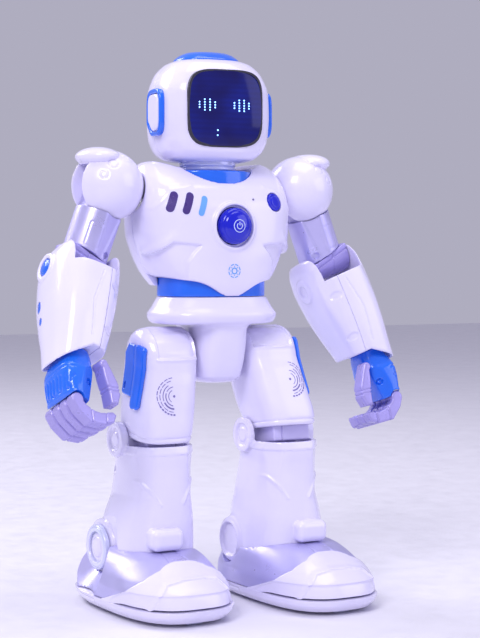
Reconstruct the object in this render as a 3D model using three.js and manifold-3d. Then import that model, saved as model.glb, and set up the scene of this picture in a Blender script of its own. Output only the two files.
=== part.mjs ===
// Walking humanoid toy robot: glossy white and blue casings over a gait mechanism, with jointed arms and hands.
// Millimetres, +Z up. The robot faces -Y, and its own left side is +X. It stands on the floor at z = 0.
import * as THREE from "three";
import { mergeVertices } from "three/addons/utils/BufferGeometryUtils.js";
import Module from "manifold-3d";

const wasm = await Module();
wasm.setup();

const DEG = Math.PI / 180;
const GAP = 0.35;
const WALL = 2.5;
const FAR = 400;
const AROUND = 20;
const INSIDE = 10;
const ROUND = 18;
// Points closer to flat than this are left out of a finished piece.
const TIDY = 0.1;

// Pose the toy stands in, in degrees.
const ARM_SPREAD = 20.5;
const ELBOW_BEND = { left: 14, right: 27 };
const STRIDE = 9;
const HEAD_TURN = -7;

// Driving sizes. The whole robot is shifted so that the origin is under the middle of its box.
const STANCE_X = -0.95;
const STANCE_Y = 20.5;
const BALL_X = 80;
const BALL_Y = 5.5;
const BALL_Z = 299.5;
const BALL_RADIUS = 25.5;
const SLOT_HALF = 8;
const UPPER_ARM = 56;
const FOREARM = 76;
const HEAD_Y = 4;
const HIP_X = 42;
const HIP_Y = -2;
const THIGH = 56;
const KNEE_Z = 120;
const HIP_Z = KNEE_Z + THIGH * Math.cos(STRIDE * DEG);
const SHIN_X = 5;
const FOOT_X = 12;
const FOOT_Y = -18.5;
const FOOT_BASE = 11.8;
const WHEEL_RADIUS = 6.5;
const ROLLER_RADIUS = 5;
const BUTTON_Z = 271.5;
const BUTTON_RADIUS = 13;
const BUTTON_TIP = 41;

const FINISH = {
  white: { color: 0xe9e5fb, roughness: 0.16, metalness: 0 },
  blue: { color: 0x0f3fe6, roughness: 0.14, metalness: 0.05 },
  silver: { color: 0xb9b4dc, roughness: 0.32, metalness: 0.75 },
  lilac: { color: 0xa8a1d2, roughness: 0.4, metalness: 0.1 },
  smoked: { color: 0x0a0a34, roughness: 0.06, metalness: 0.1 },
  pearl: { color: 0xe6e8fb, roughness: 0.2, metalness: 0.3 },
  rubber: { color: 0x2b2b33, roughness: 0.8, metalness: 0 },
  board: { color: 0x1d6b45, roughness: 0.6, metalness: 0 },
  dark: { color: 0x25262e, roughness: 0.5, metalness: 0 },
};

// --- geometry helpers -------------------------------------------------------------------------------------------

// Smooth curve through (x, y) pairs that never overshoots them.
function monotone(xs, ys) {
  const slopes = xs.slice(1).map((x, i) => (ys[i + 1] - ys[i]) / (x - xs[i]));
  const tangents = xs.map((x, i) => {
    if (i === 0) return slopes[0];
    if (i === xs.length - 1) return slopes[i - 1];
    return slopes[i - 1] * slopes[i] <= 0 ? 0 : 2 / (1 / slopes[i - 1] + 1 / slopes[i]);
  });
  return (x) => {
    const last = xs.length - 2;
    const found = xs.findIndex((value, k) => k <= last && x <= xs[k + 1]);
    const i = found < 0 ? last : found;
    const span = xs[i + 1] - xs[i];
    const t = (x - xs[i]) / span;
    const a = (1 + 2 * t) * (1 - t) ** 2;
    const b = t * (1 - t) ** 2;
    const c = t * t * (3 - 2 * t);
    const d = t * t * (t - 1);
    return a * ys[i] + b * span * tangents[i] + c * ys[i + 1] + d * span * tangents[i + 1];
  };
}

// Radius of a rounded rectangle (superellipse) of half sizes hx, hy in one direction.
function sectionRadius(hx, hy, power, angle) {
  const across = Math.abs(Math.cos(angle) / hx) ** power;
  const along = Math.abs(Math.sin(angle) / hy) ** power;
  return (across + along) ** (-1 / power);
}

// Closed body through level sections [z, cx, cy, hx, hy, power], flat at both ends.
function loft(stations, around = AROUND) {
  const points = [];
  for (const [z, cx, cy, hx, hy, power] of stations) {
    for (let j = 0; j < around; j += 1) {
      const angle = ((j + 0.5) / around) * 2 * Math.PI;
      const radius = sectionRadius(hx, hy, power, angle);
      points.push(cx + radius * Math.cos(angle), cy + radius * Math.sin(angle), z);
    }
  }
  const faces = [];
  const top = (stations.length - 1) * around;
  for (let j = 0; j < around; j += 1) {
    const next = (j + 1) % around;
    for (let i = 0; i < stations.length - 1; i += 1) {
      const low = i * around;
      const high = low + around;
      faces.push(low + j, low + next, high + next, low + j, high + next, high + j);
    }
    if (j > 0 && j < around - 1) faces.push(0, next, j, top, top + j, top + next);
  }
  const geometry = new THREE.BufferGeometry();
  geometry.setAttribute("position", new THREE.Float32BufferAttribute(points, 3));
  geometry.setIndex(faces);
  return geometry;
}

// The same stations grown (or shrunk) all round; the end sections move out by the same amount.
function grown(stations, amount) {
  const last = stations.length - 1;
  return stations.map(([z, cx, cy, hx, hy, power], i) => {
    const shift = i === 0 ? -amount : i === last ? amount : 0;
    return [z + shift, cx, cy, hx + amount, hy + amount, power];
  });
}

// Every station but the ones too close to the ends of a hollow made with this wall.
function hollow(stations, wall = WALL, openBelow = 0, openAbove = 0) {
  const low = stations[0][0] + wall;
  const high = stations[stations.length - 1][0] - wall;
  const kept = stations.filter(([z]) => z > low + 1 && z < high - 1);
  const ends = [low, high].map((z) => sectionAt(stations, z));
  const inner = [ends[0], ...kept, ends[1]].map(([z, cx, cy, hx, hy, power]) => [
    z, cx, cy, Math.max(hx - wall, 1), Math.max(hy - wall, 1), power,
  ]);
  if (openBelow > 0) inner.unshift([inner[0][0] - openBelow, ...inner[0].slice(1)]);
  if (openAbove > 0) inner.push([inner[inner.length - 1][0] + openAbove, ...inner[inner.length - 1].slice(1)]);
  return inner;
}

function sectionAt(stations, z) {
  const zs = stations.map((station) => station[0]);
  return [z, ...[1, 2, 3, 4, 5].map((k) => monotone(zs, stations.map((station) => station[k]))(z))];
}

function solid(geometry) {
  const bare = new THREE.BufferGeometry();
  bare.setAttribute("position", geometry.getAttribute("position").clone());
  if (geometry.index) bare.setIndex(geometry.index.clone());
  const merged = mergeVertices(bare, 1e-4);
  return new wasm.Manifold(new wasm.Mesh({
    numProp: 3,
    vertProperties: new Float32Array(merged.getAttribute("position").array),
    triVerts: new Uint32Array(merged.index.array),
  }));
}

const body = (stations, around) => solid(loft(stations, around));

function box(x0, x1, y0, y1, z0, z1) {
  const geometry = new THREE.BoxGeometry(x1 - x0, y1 - y0, z1 - z0);
  geometry.translate((x0 + x1) / 2, (y0 + y1) / 2, (z0 + z1) / 2);
  return solid(geometry);
}

function ball(radius, x = 0, y = 0, z = 0) {
  const geometry = new THREE.SphereGeometry(radius, ROUND, ROUND / 2 + 1);
  geometry.rotateX(Math.PI / 2);
  geometry.translate(x, y, z);
  return solid(geometry);
}

// Round bar along "x", "y" or "z" from low to high, through (u, v) in the other two axes' order.
function bar(axis, radius, low, high, u, v) {
  const geometry = new THREE.CylinderGeometry(radius, radius, high - low, ROUND);
  if (axis === "x") geometry.rotateZ(Math.PI / 2);
  if (axis === "z") geometry.rotateX(Math.PI / 2);
  const middle = (low + high) / 2;
  if (axis === "x") geometry.translate(middle, u, v);
  if (axis === "y") geometry.translate(u, middle, v);
  if (axis === "z") geometry.translate(u, v, middle);
  return solid(geometry);
}

// Closed outline in two axes, extruded along the third: "x" takes (y, z) points, "y" takes (x, z) points.
function prism(axis, outline, low, high) {
  const shape = new THREE.Shape(outline.map(([u, v]) => new THREE.Vector2(u, v)));
  const geometry = new THREE.ExtrudeGeometry(shape, { depth: high - low, bevelEnabled: false });
  const turned = new THREE.Matrix4();
  if (axis === "x") turned.set(0, 0, 1, low, 1, 0, 0, 0, 0, 1, 0, 0, 0, 0, 0, 1);
  if (axis === "y") turned.set(1, 0, 0, 0, 0, 0, -1, high, 0, 1, 0, 0, 0, 0, 0, 1);
  geometry.applyMatrix4(turned);
  return solid(geometry);
}

// Loft built along the outward direction: "front" points along -Y, "side" along +X.
function facing(direction, stations, around = AROUND) {
  const geometry = loft(stations, around);
  if (direction === "front") geometry.rotateX(Math.PI / 2);
  if (direction === "side") {
    geometry.rotateZ(Math.PI / 2);
    geometry.rotateY(Math.PI / 2);
  }
  return solid(geometry);
}

const revolved = (profile) => new THREE.LatheGeometry(profile.map(([r, h]) => new THREE.Vector2(r, h)), ROUND);

function mesh(name, shape, finish) {
  const data = shape.simplify(TIDY).getMesh();
  const geometry = new THREE.BufferGeometry();
  geometry.setAttribute("position", new THREE.BufferAttribute(new Float32Array(data.vertProperties), 3));
  geometry.setIndex(new THREE.BufferAttribute(new Uint32Array(data.triVerts), 1));
  geometry.computeVertexNormals();
  const material = new THREE.MeshStandardMaterial(FINISH[finish]);
  material.name = finish;
  const made = new THREE.Mesh(geometry, material);
  made.name = name;
  return made;
}

function group(parent, x = 0, y = 0, z = 0) {
  const made = new THREE.Group();
  made.position.set(x, y, z);
  parent.add(made);
  return made;
}

// --- head -------------------------------------------------------------------------------------------------------

const VISOR_Z = 355;
const HEAD = [
  [315.8, 0, 0, 25, 22, 2.6],
  [318.5, 0, 0, 32, 28, 2.8],
  [325, 0, 0, 37.5, 33, 3.2],
  [335, 0, 0, 40.3, 35.5, 3.4],
  [351, 0, 0, 41.2, 36.2, 3.5],
  [366, 0, 0, 40.7, 35.7, 3.5],
  [379, 0, 0.5, 37.5, 32.5, 3.1],
  [387.5, 0, 1, 31, 27, 2.7],
  [392.6, 0, 2, 20, 17, 2.4],
];
const CAP = [
  [385.5, 0, 3, 24, 21, 2.4],
  [391, 0, 3, 23.5, 20.5, 2.4],
  [395.5, 0, 3, 18.5, 15.5, 2.3],
  [398, 0, 3, 8.5, 7, 2.2],
];
const VISOR = [
  [28, 0, VISOR_Z, 29.2, 28, 4.2],
  [34.2, 0, VISOR_Z, 29.2, 28, 4.2],
  [35.9, 0, VISOR_Z, 27.6, 26.4, 4],
  [36.8, 0, VISOR_Z, 22.5, 21.5, 3.6],
];
const NECK_RADIUS = 20.5;
const EAR_Y = -4;
const EAR_Z = 352.7;

function headShells() {
  const visorHole = facing("front", grown(VISOR, GAP).map(([z, ...rest]) => [z - 6, ...rest]))
    .add(facing("front", [[28, 0, VISOR_Z, 29.55, 28.35, 4.2], [60, 0, VISOR_Z, 29.55, 28.35, 4.2]]));
  const shell = body(HEAD).subtract(body(hollow(HEAD), INSIDE)).subtract(body(grown(CAP, GAP)));
  const neckHole = bar("z", 8, 300, 330, 0, 0);
  const open = shell.subtract(visorHole).subtract(neckHole);
  const seam = 3;
  return [
    mesh("head_front_shell", open.intersect(box(-FAR, FAR, -FAR, seam - GAP / 2, 0, FAR * 2)), "white"),
    mesh("head_rear_shell", open.intersect(box(-FAR, FAR, seam + GAP / 2, FAR, 0, FAR * 2)), "white"),
  ];
}

function earPieces(side, mirror) {
  const ring = facing("side", [[37, EAR_Y, EAR_Z, 14, 17, 4], [44.4, EAR_Y, EAR_Z, 14, 17, 4],
    [46, EAR_Y, EAR_Z, 12.6, 15.6, 4]]);
  const hole = facing("side", [[30, EAR_Y, EAR_Z, 9, 12, 4], [60, EAR_Y, EAR_Z, 9, 12, 4]], 16);
  const pad = facing("side", [[37, EAR_Y, EAR_Z, 8.6, 11.6, 4], [43.6, EAR_Y, EAR_Z, 8.6, 11.6, 4],
    [44.6, EAR_Y, EAR_Z, 7.4, 10.4, 4]], 16);
  const skull = body(grown(HEAD, GAP));
  const pieces = [
    mesh(`ear_ring_${side}`, ring.subtract(hole).subtract(skull), "blue"),
    mesh(`ear_pad_${side}`, pad.subtract(skull), "white"),
  ];
  if (mirror) pieces.forEach((piece) => piece.scale.setX(-1));
  return pieces;
}

function head() {
  const neck = bar("z", NECK_RADIUS, 311.9, 315.4, 0, 0).add(bar("z", 7.6, 298, 322, 0, 0));
  return [
    ...headShells(),
    mesh("head_cap", body(CAP), "blue"),
    mesh("face_visor", facing("front", VISOR), "smoked"),
    mesh("led_board", box(-24, 24, -26, -24.4, 335, 375), "board"),
    ...earPieces("left", false),
    ...earPieces("right", true),
    mesh("neck_post", neck, "pearl"),
  ];
}

// --- torso ------------------------------------------------------------------------------------------------------

const TORSO = [
  [222, 0, 0, 35, 32, 2.6],
  [230, 0, 1, 43, 35, 2.8],
  [240, 0, 2.5, 50, 37.5, 2.9],
  [254, 0, 4, 56, 39, 3],
  [268, 0, 5, 59.5, 39.5, 3],
  [283, 0, 5.5, 60, 39, 3.1],
  [296, 0, 6, 59, 35, 3.1],
  [305, 0, 8, 57.5, 29.5, 3.1],
  [313, 0, 10, 54, 21.5, 3],
  [318, 0, 11, 50, 15, 2.8],
];
const WAIST = [
  [221.4, 0, -1, 39.5, 30, 2.5],
  [236, 0, -1, 39.5, 30, 2.5],
];
const COLLAR = [
  [297.8, 0, 1, 30.6, 24.6, 2.2],
  [306.5, 0, 1, 30.6, 24.6, 2.2],
  [311.4, 0, 3, 23, 20.5, 2.1],
];
const PELVIS = [
  [201.2, 0, -2, 43.5, 32.5, 2.6],
  [203.5, 0, -2, 46.3, 35.3, 2.6],
  [208, 0, -2, 47, 36, 2.6],
  [214, 0, -2, 43.5, 33, 2.5],
  [221, 0, -2, 39.5, 30, 2.5],
];
const CROTCH = [
  [159, 0, -2, 12, 15, 3],
  [164, 0, -2, 17.5, 21, 3],
  [182, 0, -2, 19.2, 26.5, 3],
  [206, 0, -2, 19.2, 30, 3],
];

function torsoShell() {
  const headRoom = bar("z", 40, 314, 330, 0, HEAD_Y);
  const [rim] = grown(COLLAR, GAP);
  const neckHole = body([rim, [330, ...rim.slice(1)]]);
  let shell = body(TORSO).subtract(body(hollow(TORSO), INSIDE));
  for (const side of [-1, 1]) shell = shell.subtract(ball(BALL_RADIUS + 1, side * BALL_X, BALL_Y, BALL_Z));
  return shell.subtract(headRoom).subtract(neckHole).subtract(body(grown(WAIST, GAP)));
}

function chestShell(shell, seam) {
  const lowEdge = [[-70, 200], [70, 200], [70, 242], [44, 233], [22, 225], [0, 222.2], [-22, 225],
    [-44, 233], [-70, 242]];
  const buttonHole = bar("y", BUTTON_RADIUS + 0.4, -60, -20, 0, BUTTON_Z);
  const buttonDish = bar("y", BUTTON_RADIUS + 3.5, -60, -33.6, 0, BUTTON_Z);
  return shell.intersect(box(-FAR, FAR, -FAR, seam - GAP / 2, 0, FAR))
    .subtract(prism("y", lowEdge, -60, 60)).subtract(buttonHole).subtract(buttonDish);
}

// Small domed lens set square to the upper left of the chest.
function lens(radius, deep, tall) {
  const geometry = revolved([[0, -deep], [radius, -deep], [radius, tall - 1.6], [radius * 0.6, tall - 0.4],
    [0, tall]]);
  geometry.rotateX(Math.PI / 2);
  geometry.rotateX(-16 * DEG);
  geometry.rotateZ(18 * DEG);
  geometry.translate(37, -27.6, 289);
  return solid(geometry);
}

function button() {
  const geometry = revolved([[0, 26], [BUTTON_RADIUS, 26], [BUTTON_RADIUS, 36], [11.2, 38.5], [7.8, 40.1],
    [3.6, 40.8], [0, BUTTON_TIP]]);
  geometry.rotateX(Math.PI);
  geometry.translate(0, 0, BUTTON_Z);
  return mesh("power_button", solid(geometry), "blue");
}

function torso() {
  const seam = 7;
  const doorHalf = 24;
  const doorLow = 239;
  const doorHigh = 289;
  const shell = torsoShell();
  const back = shell.intersect(box(-FAR, FAR, seam + GAP / 2, FAR, 229, FAR));
  const doorBox = box(-doorHalf, doorHalf, 24, 60, doorLow, doorHigh);
  const doorHole = box(-doorHalf - GAP, doorHalf + GAP, 24, 60, doorLow - GAP, doorHigh + GAP);
  const collarSlope = prism("x", [[-40, 293], [-12, 312.2], [-40, 330]], -30, 30);
  const hipStub = (side) => bar("x", 8, side > 0 ? 15 : -28, side > 0 ? 28 : -15, HIP_Y, HIP_Z);
  const pelvis = body(PELVIS).add(body(CROTCH)).add(hipStub(1)).add(hipStub(-1))
    .subtract(body(hollow(CROTCH, 3, 0, 30), INSIDE));
  return [
    mesh("chest_shell", chestShell(shell, seam).subtract(lens(6.95, 12, 14)), "white"),
    mesh("back_shell", back.subtract(doorHole), "white"),
    mesh("battery_door", back.intersect(doorBox), "white"),
    mesh("collar_plate", body(COLLAR).subtract(collarSlope).subtract(bar("z", 8, 290, 320, 0, HEAD_Y)), "blue"),
    mesh("chest_lens", lens(6.6, 6, 3), "blue"),
    mesh("waist_band", body(WAIST), "blue"),
    mesh("pelvis_shell", pelvis, "white"),
    mesh("battery_pack", box(-22, 22, 14, 32, 241, 284), "dark"),
    mesh("main_board", box(-32, 32, -10, -8.4, 242, 288), "board"),
    mesh("speaker", bar("y", 11, -23, -14, 0, 249), "dark"),
    mesh("neck_servo", box(-12, 12, -7, 12.5, 277, 297.4), "dark"),
  ];
}

// --- arm (built as the left one) --------------------------------------------------------------------------------

const FOREARM_SHAPE = [
  [-90, 0, 0, 17.4, 19.2, 2.7],
  [-FOREARM, 0, 0, 18.7, 21.5, 2.7],
  [-56, 0, 1, 21, 26, 2.7],
  [-36, 0, 2, 23, 29, 2.7],
  [-17, 0, 2, 23.8, 30, 2.7],
  [-6, 0, 2, 23.2, 28.6, 2.8],
  [0.5, 0, 2, 21.6, 25.5, 2.8],
  [4.5, 0, 2, 19.8, 22, 2.8],
];
const HAND_SHAPE = [
  [-38.6, -1.2, 0, 8, 17.5, 4],
  [-30, 0.4, 0, 10.2, 18, 4],
  [-18, 1.6, 0, 12, 17.6, 3.6],
  [-12, 1.4, 0, 11.8, 15.4, 3.2],
  [-5, 1, 0, 10.6, 13.8, 3],
  [-0.4, 1, 0, 9, 12.5, 2.8],
];
const KNUCKLE = { x: 1.5, z: -41, radius: 5 };
const THUMB_HINGE = { x: -13.6, z: -10.5, radius: 3.7 };

function shoulderShells(side) {
  const wing = solid(new THREE.SphereGeometry(1, ROUND, 9).scale(14.5, 20, 7.2).translate(8, 0, 20));
  const slot = box(-15, 60, -SLOT_HALF, SLOT_HALF, -60, 15);
  const whole = ball(BALL_RADIUS).add(wing).subtract(slot);
  const half = (y0, y1) => whole.intersect(box(-FAR, FAR, y0, y1, -FAR, FAR));
  return [
    mesh(`shoulder_front_shell_${side}`, half(-FAR, -GAP / 2), "white"),
    mesh(`shoulder_rear_shell_${side}`, half(GAP / 2, FAR), "white"),
  ];
}

// The sleeve ends on a plane that rises to the front; the elbow block starts just under it.
const sleeveEnd = (drop) => prism("x", [[-40, -40 - drop], [40, -57 - drop], [40, -90], [-40, -90]], -40, 40);

function upperArm(side) {
  const disc = bar("y", 14, -7.6, 7.6, 0, 0).add(box(-13, 13, -7.6, 7.6, -32, 0));
  const sleeve = bar("z", 16.5, -56, -12, 0, 0).subtract(ball(BALL_RADIUS + 0.9)).add(disc);
  const block = body([[-14 - UPPER_ARM, 0, 0, 16.4, 14, 5], [-38, 0, 0, 14, 14, 4]], 16)
    .intersect(bar("x", 14, -20, 20, 0, -UPPER_ARM).add(box(-20, 20, -14, 14, -UPPER_ARM, -30)));
  return [
    mesh(`upper_arm_sleeve_${side}`, sleeve.subtract(sleeveEnd(0)), "silver"),
    mesh(`elbow_block_${side}`, block.intersect(sleeveEnd(GAP)), "lilac"),
  ];
}

function forearmShells(side) {
  const notchHalf = 17;
  const round = bar("x", 21.5, -notchHalf, notchHalf, 0, 0);
  const throat = box(-notchHalf, notchHalf, -60, 8, -13, 40);
  const inside = body(hollow(FOREARM_SHAPE), INSIDE).intersect(box(-FAR, FAR, -FAR, FAR, WALL - FOREARM, -14));
  const wrist = bar("z", 6, -FOREARM - 10, -FOREARM + 10, 0, 0);
  const skirtRoom = body([[-100, 0, 0, 15.6, 17.4, 2.7], [-FOREARM, 0, 0, 16.9, 19.7, 2.7]]);
  const lowEdge = prism("y", [[-60, -FOREARM], [-4, -FOREARM], [18, -90.5], [60, -118], [-60, -118]], -60, 60);
  const whole = body(FOREARM_SHAPE).subtract(round).subtract(throat).subtract(inside).subtract(wrist)
    .subtract(skirtRoom).subtract(lowEdge);
  const seam = -9;
  return [
    mesh(`forearm_outer_shell_${side}`, whole.intersect(box(seam + GAP / 2, FAR, -FAR, FAR, -FAR, FAR)), "white"),
    mesh(`forearm_inner_shell_${side}`, whole.intersect(box(-FAR, seam - GAP / 2, -FAR, FAR, -FAR, FAR)), "white"),
  ];
}

// Points of a round knuckle about its hinge, from one angle to another in degrees.
function knuckle({ x, z, radius }, from, to) {
  const steps = 7;
  return Array.from({ length: steps }, (_, i) => {
    const angle = (from + ((to - from) * i) / (steps - 1)) * DEG;
    return [x + radius * Math.cos(angle), z + radius * Math.sin(angle)];
  });
}

// Four fingers moulded together, curled towards the thumb and hinged under the hand's cover.
function fingerBlock() {
  const curl = [[-5.5, -42.6], [-12, -44.8], [-17, -44.8], [-26, -41.3], [-29.5, -43], [-28.3, -49], [-21, -53.5],
    [-9, -55.5], [1, -49.5], [6, -43.4]];
  return prism("y", [...knuckle(KNUCKLE, 0, 180), ...curl], -16, 19);
}

function thumbBlock() {
  const curl = [[-20, -13], [-26.5, -22], [-29, -29.5], [-28, -37.2], [-21.8, -38.4], [-19.5, -31], [-14.5, -20]];
  return prism("y", [...knuckle(THUMB_HINGE, -70, 120), ...curl], -20, -9);
}

function handCover() {
  const hinge = (spot, low, high) => bar("y", spot.radius + GAP, low, high, spot.x, spot.z);
  return body(HAND_SHAPE).add(bar("z", 5.6, -6, 6, 0, 0))
    .subtract(hinge(KNUCKLE, -30, 30)).subtract(hinge(THUMB_HINGE, -30, -9 + GAP));
}

function arm(parent, side) {
  const shoulder = group(parent, BALL_X, BALL_Y, BALL_Z);
  shoulder.add(...shoulderShells(side));
  const spread = group(shoulder);
  spread.rotation.y = -ARM_SPREAD * DEG;
  spread.add(...upperArm(side));
  const elbow = group(spread, 0, 0, -UPPER_ARM);
  elbow.rotation.x = -ELBOW_BEND[side] * DEG;
  elbow.add(...forearmShells(side));
  const wrist = group(elbow, 0, 0, -FOREARM);
  wrist.add(
    mesh(`hand_cover_${side}`, handCover(), "blue"),
    mesh(`fingers_${side}`, fingerBlock(), "lilac"),
    mesh(`thumb_${side}`, thumbBlock(), "lilac"),
  );
}

// --- leg (built as the left one) --------------------------------------------------------------------------------

const THIGH_SHAPE = [
  [-52, 5, -10, 20.8, 24.5, 3],
  [-48, 5, -10, 21.6, 25.2, 3],
  [-30, 3, -6, 22, 26.2, 3],
  [-12, 1, -2, 21.6, 26, 3.1],
  [0, 0, 0, 21.5, 25.2, 3.2],
  [9, 0, 0, 21.5, 23.5, 3.1],
  [16, 0, 0, 21, 19.4, 3],
  [21, 0, 0, 19, 13.9, 2.8],
  [24.6, 0, 0, 15.5, 5.4, 2.4],
];
const SHIN_SHAPE = [
  [-84, SHIN_X + 3, 0, 30, 37, 2.6],
  [-72, SHIN_X + 2.5, 0, 29.5, 37, 2.6],
  [-58, SHIN_X + 1.5, -1, 27.5, 36, 2.6],
  [-38, SHIN_X, -3, 23.5, 32.5, 2.6],
  [-20, SHIN_X, -6, 23, 29.5, 2.7],
  [-9, SHIN_X, -8, 23.7, 28, 2.8],
  [-4.4, SHIN_X, -8, 22.7, 27, 2.8],
];
const FOOT_SHAPE = [
  [FOOT_BASE, FOOT_X, FOOT_Y, 40.5, 74, 2.9],
  [20, FOOT_X, FOOT_Y + 1.5, 40.5, 72.5, 2.8],
  [28, FOOT_X, FOOT_Y + 4.5, 38.6, 67, 2.7],
  [36, FOOT_X - 0.5, FOOT_Y + 8.5, 35.6, 58, 2.5],
  [42, FOOT_X - 1, FOOT_Y + 12.5, 31.5, 49, 2.4],
  [46, FOOT_X - 1, FOOT_Y + 16.5, 27, 39, 2.3],
];
const SOLE_SHAPE = [
  [2.6, FOOT_X, FOOT_Y, 39, 72, 2.9],
  [6, FOOT_X, FOOT_Y, 42.5, 76, 2.9],
  [FOOT_BASE - GAP, FOOT_X, FOOT_Y, 42.5, 76, 2.9],
];
const INSTEP = [-0.5, 24.5];
const ANKLE = { outer: 40, inner: -22, y: 17, z: 41, radius: 16.5 };
const WHEEL_Y = 28;
const ROLLER_Y = -79;

function thighPieces(side) {
  const bore = bar("x", 8.4, -30, -12, 0, 0);
  const pocket = box(-8.6, 18.6, -14, 14, -70, -38).add(box(-10.6, 20.6, -26.6, 14, -70, -48.4));
  const outer = body(THIGH_SHAPE);
  const shell = outer.subtract(body(hollow(THIGH_SHAPE), INSIDE)).subtract(bore).subtract(pocket);
  const reach = [[12, -19], [40, -19], [40, 8], [12, 8]];
  const panel = solid(new THREE.ExtrudeGeometry(
    new THREE.Shape(reach.map(([x, y]) => new THREE.Vector2(x, y))), { depth: 44, bevelEnabled: false },
  ).translate(0, 0, -30.5));
  const guard = body(grown(THIGH_SHAPE, 3.2)).subtract(body(grown(THIGH_SHAPE, GAP))).intersect(panel);
  const link = bar("x", 13, -8, 18, 0, -THIGH).add(box(-8, 18, -12, 12, -THIGH, -42))
    .add(box(-10, 20, -26, 10, -THIGH - 7, -49));
  return [
    mesh(`thigh_shell_${side}`, shell, "white"),
    mesh(`thigh_guard_${side}`, guard, "blue"),
    mesh(`knee_link_${side}`, link, "lilac"),
  ];
}

// Everything below the knee is one rigid body; its pieces are drawn from the floor up, then lowered to the knee.
function shinPieces(side) {
  const ears = bar("x", 12.5, 27.3, 33, 0, 0).add(bar("x", 12.5, -22, -17.6, 0, 0));
  const innerDisc = bar("x", ANKLE.radius, ANKLE.inner, -10, ANKLE.y, ANKLE.z - KNEE_Z);
  const instep = box(...INSTEP, -46, -28, -76, -60);
  const outer = body(SHIN_SHAPE).add(innerDisc).add(instep);
  const inside = body(hollow(SHIN_SHAPE, WALL, 10, 10), INSIDE);
  const shell = outer.subtract(inside).add(ears);
  const disc = bar("x", ANKLE.radius, 20, ANKLE.outer, ANKLE.y, ANKLE.z - KNEE_Z)
    .subtract(body(grown(SHIN_SHAPE, GAP)));
  return [mesh(`shin_shell_${side}`, shell, "white"), mesh(`ankle_disc_${side}`, disc, "pearl")];
}

function footPieces(side) {
  const lift = (shape) => shape.translate([0, 0, -KNEE_Z]);
  const shin = body(grown(SHIN_SHAPE, GAP)).add(bar("x", ANKLE.radius + GAP, -60, 60,
    ANKLE.y, ANKLE.z - KNEE_Z)).add(box(INSTEP[0] - GAP, INSTEP[1] + GAP, -46.4, -28, -76.4, -60));
  const inside = body(hollow(FOOT_SHAPE, WALL, 10, 0), INSIDE);
  const whole = lift(body(FOOT_SHAPE).subtract(inside)).subtract(shin);
  const front = (slack) => prism("x", [[-46 - slack, -2 - KNEE_Z], [-58 - slack, 60 - KNEE_Z],
    [-140, 60 - KNEE_Z], [-140, -2 - KNEE_Z]], -60, 60);
  return [
    mesh(`foot_shell_${side}`, whole.subtract(front(0)), "silver"),
    mesh(`toe_cap_${side}`, whole.intersect(front(GAP)), "white"),
  ];
}

function rollingPieces(side) {
  const wheelX = 19;
  const wheelHalf = 3.5;
  const axle = (y, z, half) => bar("x", 1.5, FOOT_X - half, FOOT_X + half, y, z);
  const axleGroove = (y, z, half) => box(FOOT_X - half, FOOT_X + half, y - 1.9, y + 1.9, z - 1.9, 20);
  const wheel = (x, slack) => bar("x", WHEEL_RADIUS + slack, x - wheelHalf - slack / 2, x + wheelHalf + slack / 2,
    WHEEL_Y, WHEEL_RADIUS);
  const roller = (slack) => bar("x", ROLLER_RADIUS + slack, FOOT_X - 6 - slack / 2, FOOT_X + 6 + slack / 2,
    ROLLER_Y, ROLLER_RADIUS);
  const wheels = wheel(FOOT_X - wheelX, 0).add(wheel(FOOT_X + wheelX, 0)).add(axle(WHEEL_Y, WHEEL_RADIUS, 24));
  const sole = body(SOLE_SHAPE)
    .subtract(wheel(FOOT_X - wheelX, 1).add(wheel(FOOT_X + wheelX, 1)).add(roller(1)))
    .subtract(axleGroove(WHEEL_Y, WHEEL_RADIUS, 28)).subtract(axleGroove(ROLLER_Y, ROLLER_RADIUS, 10));
  const lift = (shape) => shape.translate([0, 0, -KNEE_Z]);
  return [
    mesh(`sole_plate_${side}`, lift(sole), "white"),
    mesh(`drive_wheels_${side}`, lift(wheels), "rubber"),
    mesh(`front_roller_${side}`, lift(roller(0).add(axle(ROLLER_Y, ROLLER_RADIUS, 9))), "pearl"),
  ];
}

function leg(parent, side, swing) {
  const hip = group(parent, HIP_X, HIP_Y, HIP_Z);
  hip.rotation.x = swing * DEG;
  hip.add(...thighPieces(side));
  const knee = group(hip, 0, 0, -THIGH);
  knee.rotation.x = -swing * DEG;
  knee.add(...shinPieces(side), ...footPieces(side), ...rollingPieces(side));
}

// --- assembly ---------------------------------------------------------------------------------------------------

const robot = new THREE.Group();
robot.name = "walking_robot";
const standing = group(robot, STANCE_X, STANCE_Y, 0);
standing.add(...torso(), button());
const turned = group(standing, 0, HEAD_Y, 0);
turned.rotation.z = HEAD_TURN * DEG;
turned.add(...head());
const leftSide = group(standing);
const rightSide = group(standing);
rightSide.scale.setX(-1);
arm(leftSide, "left");
arm(rightSide, "right");
leg(leftSide, "left", -STRIDE);
leg(rightSide, "right", STRIDE);

export default robot;
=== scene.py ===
"""Looks of the walking toy robot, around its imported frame. Shapes are in millimetres, written in metres."""
import math

import bmesh
import bpy
import numpy as np
from mathutils import Matrix, Vector


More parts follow.
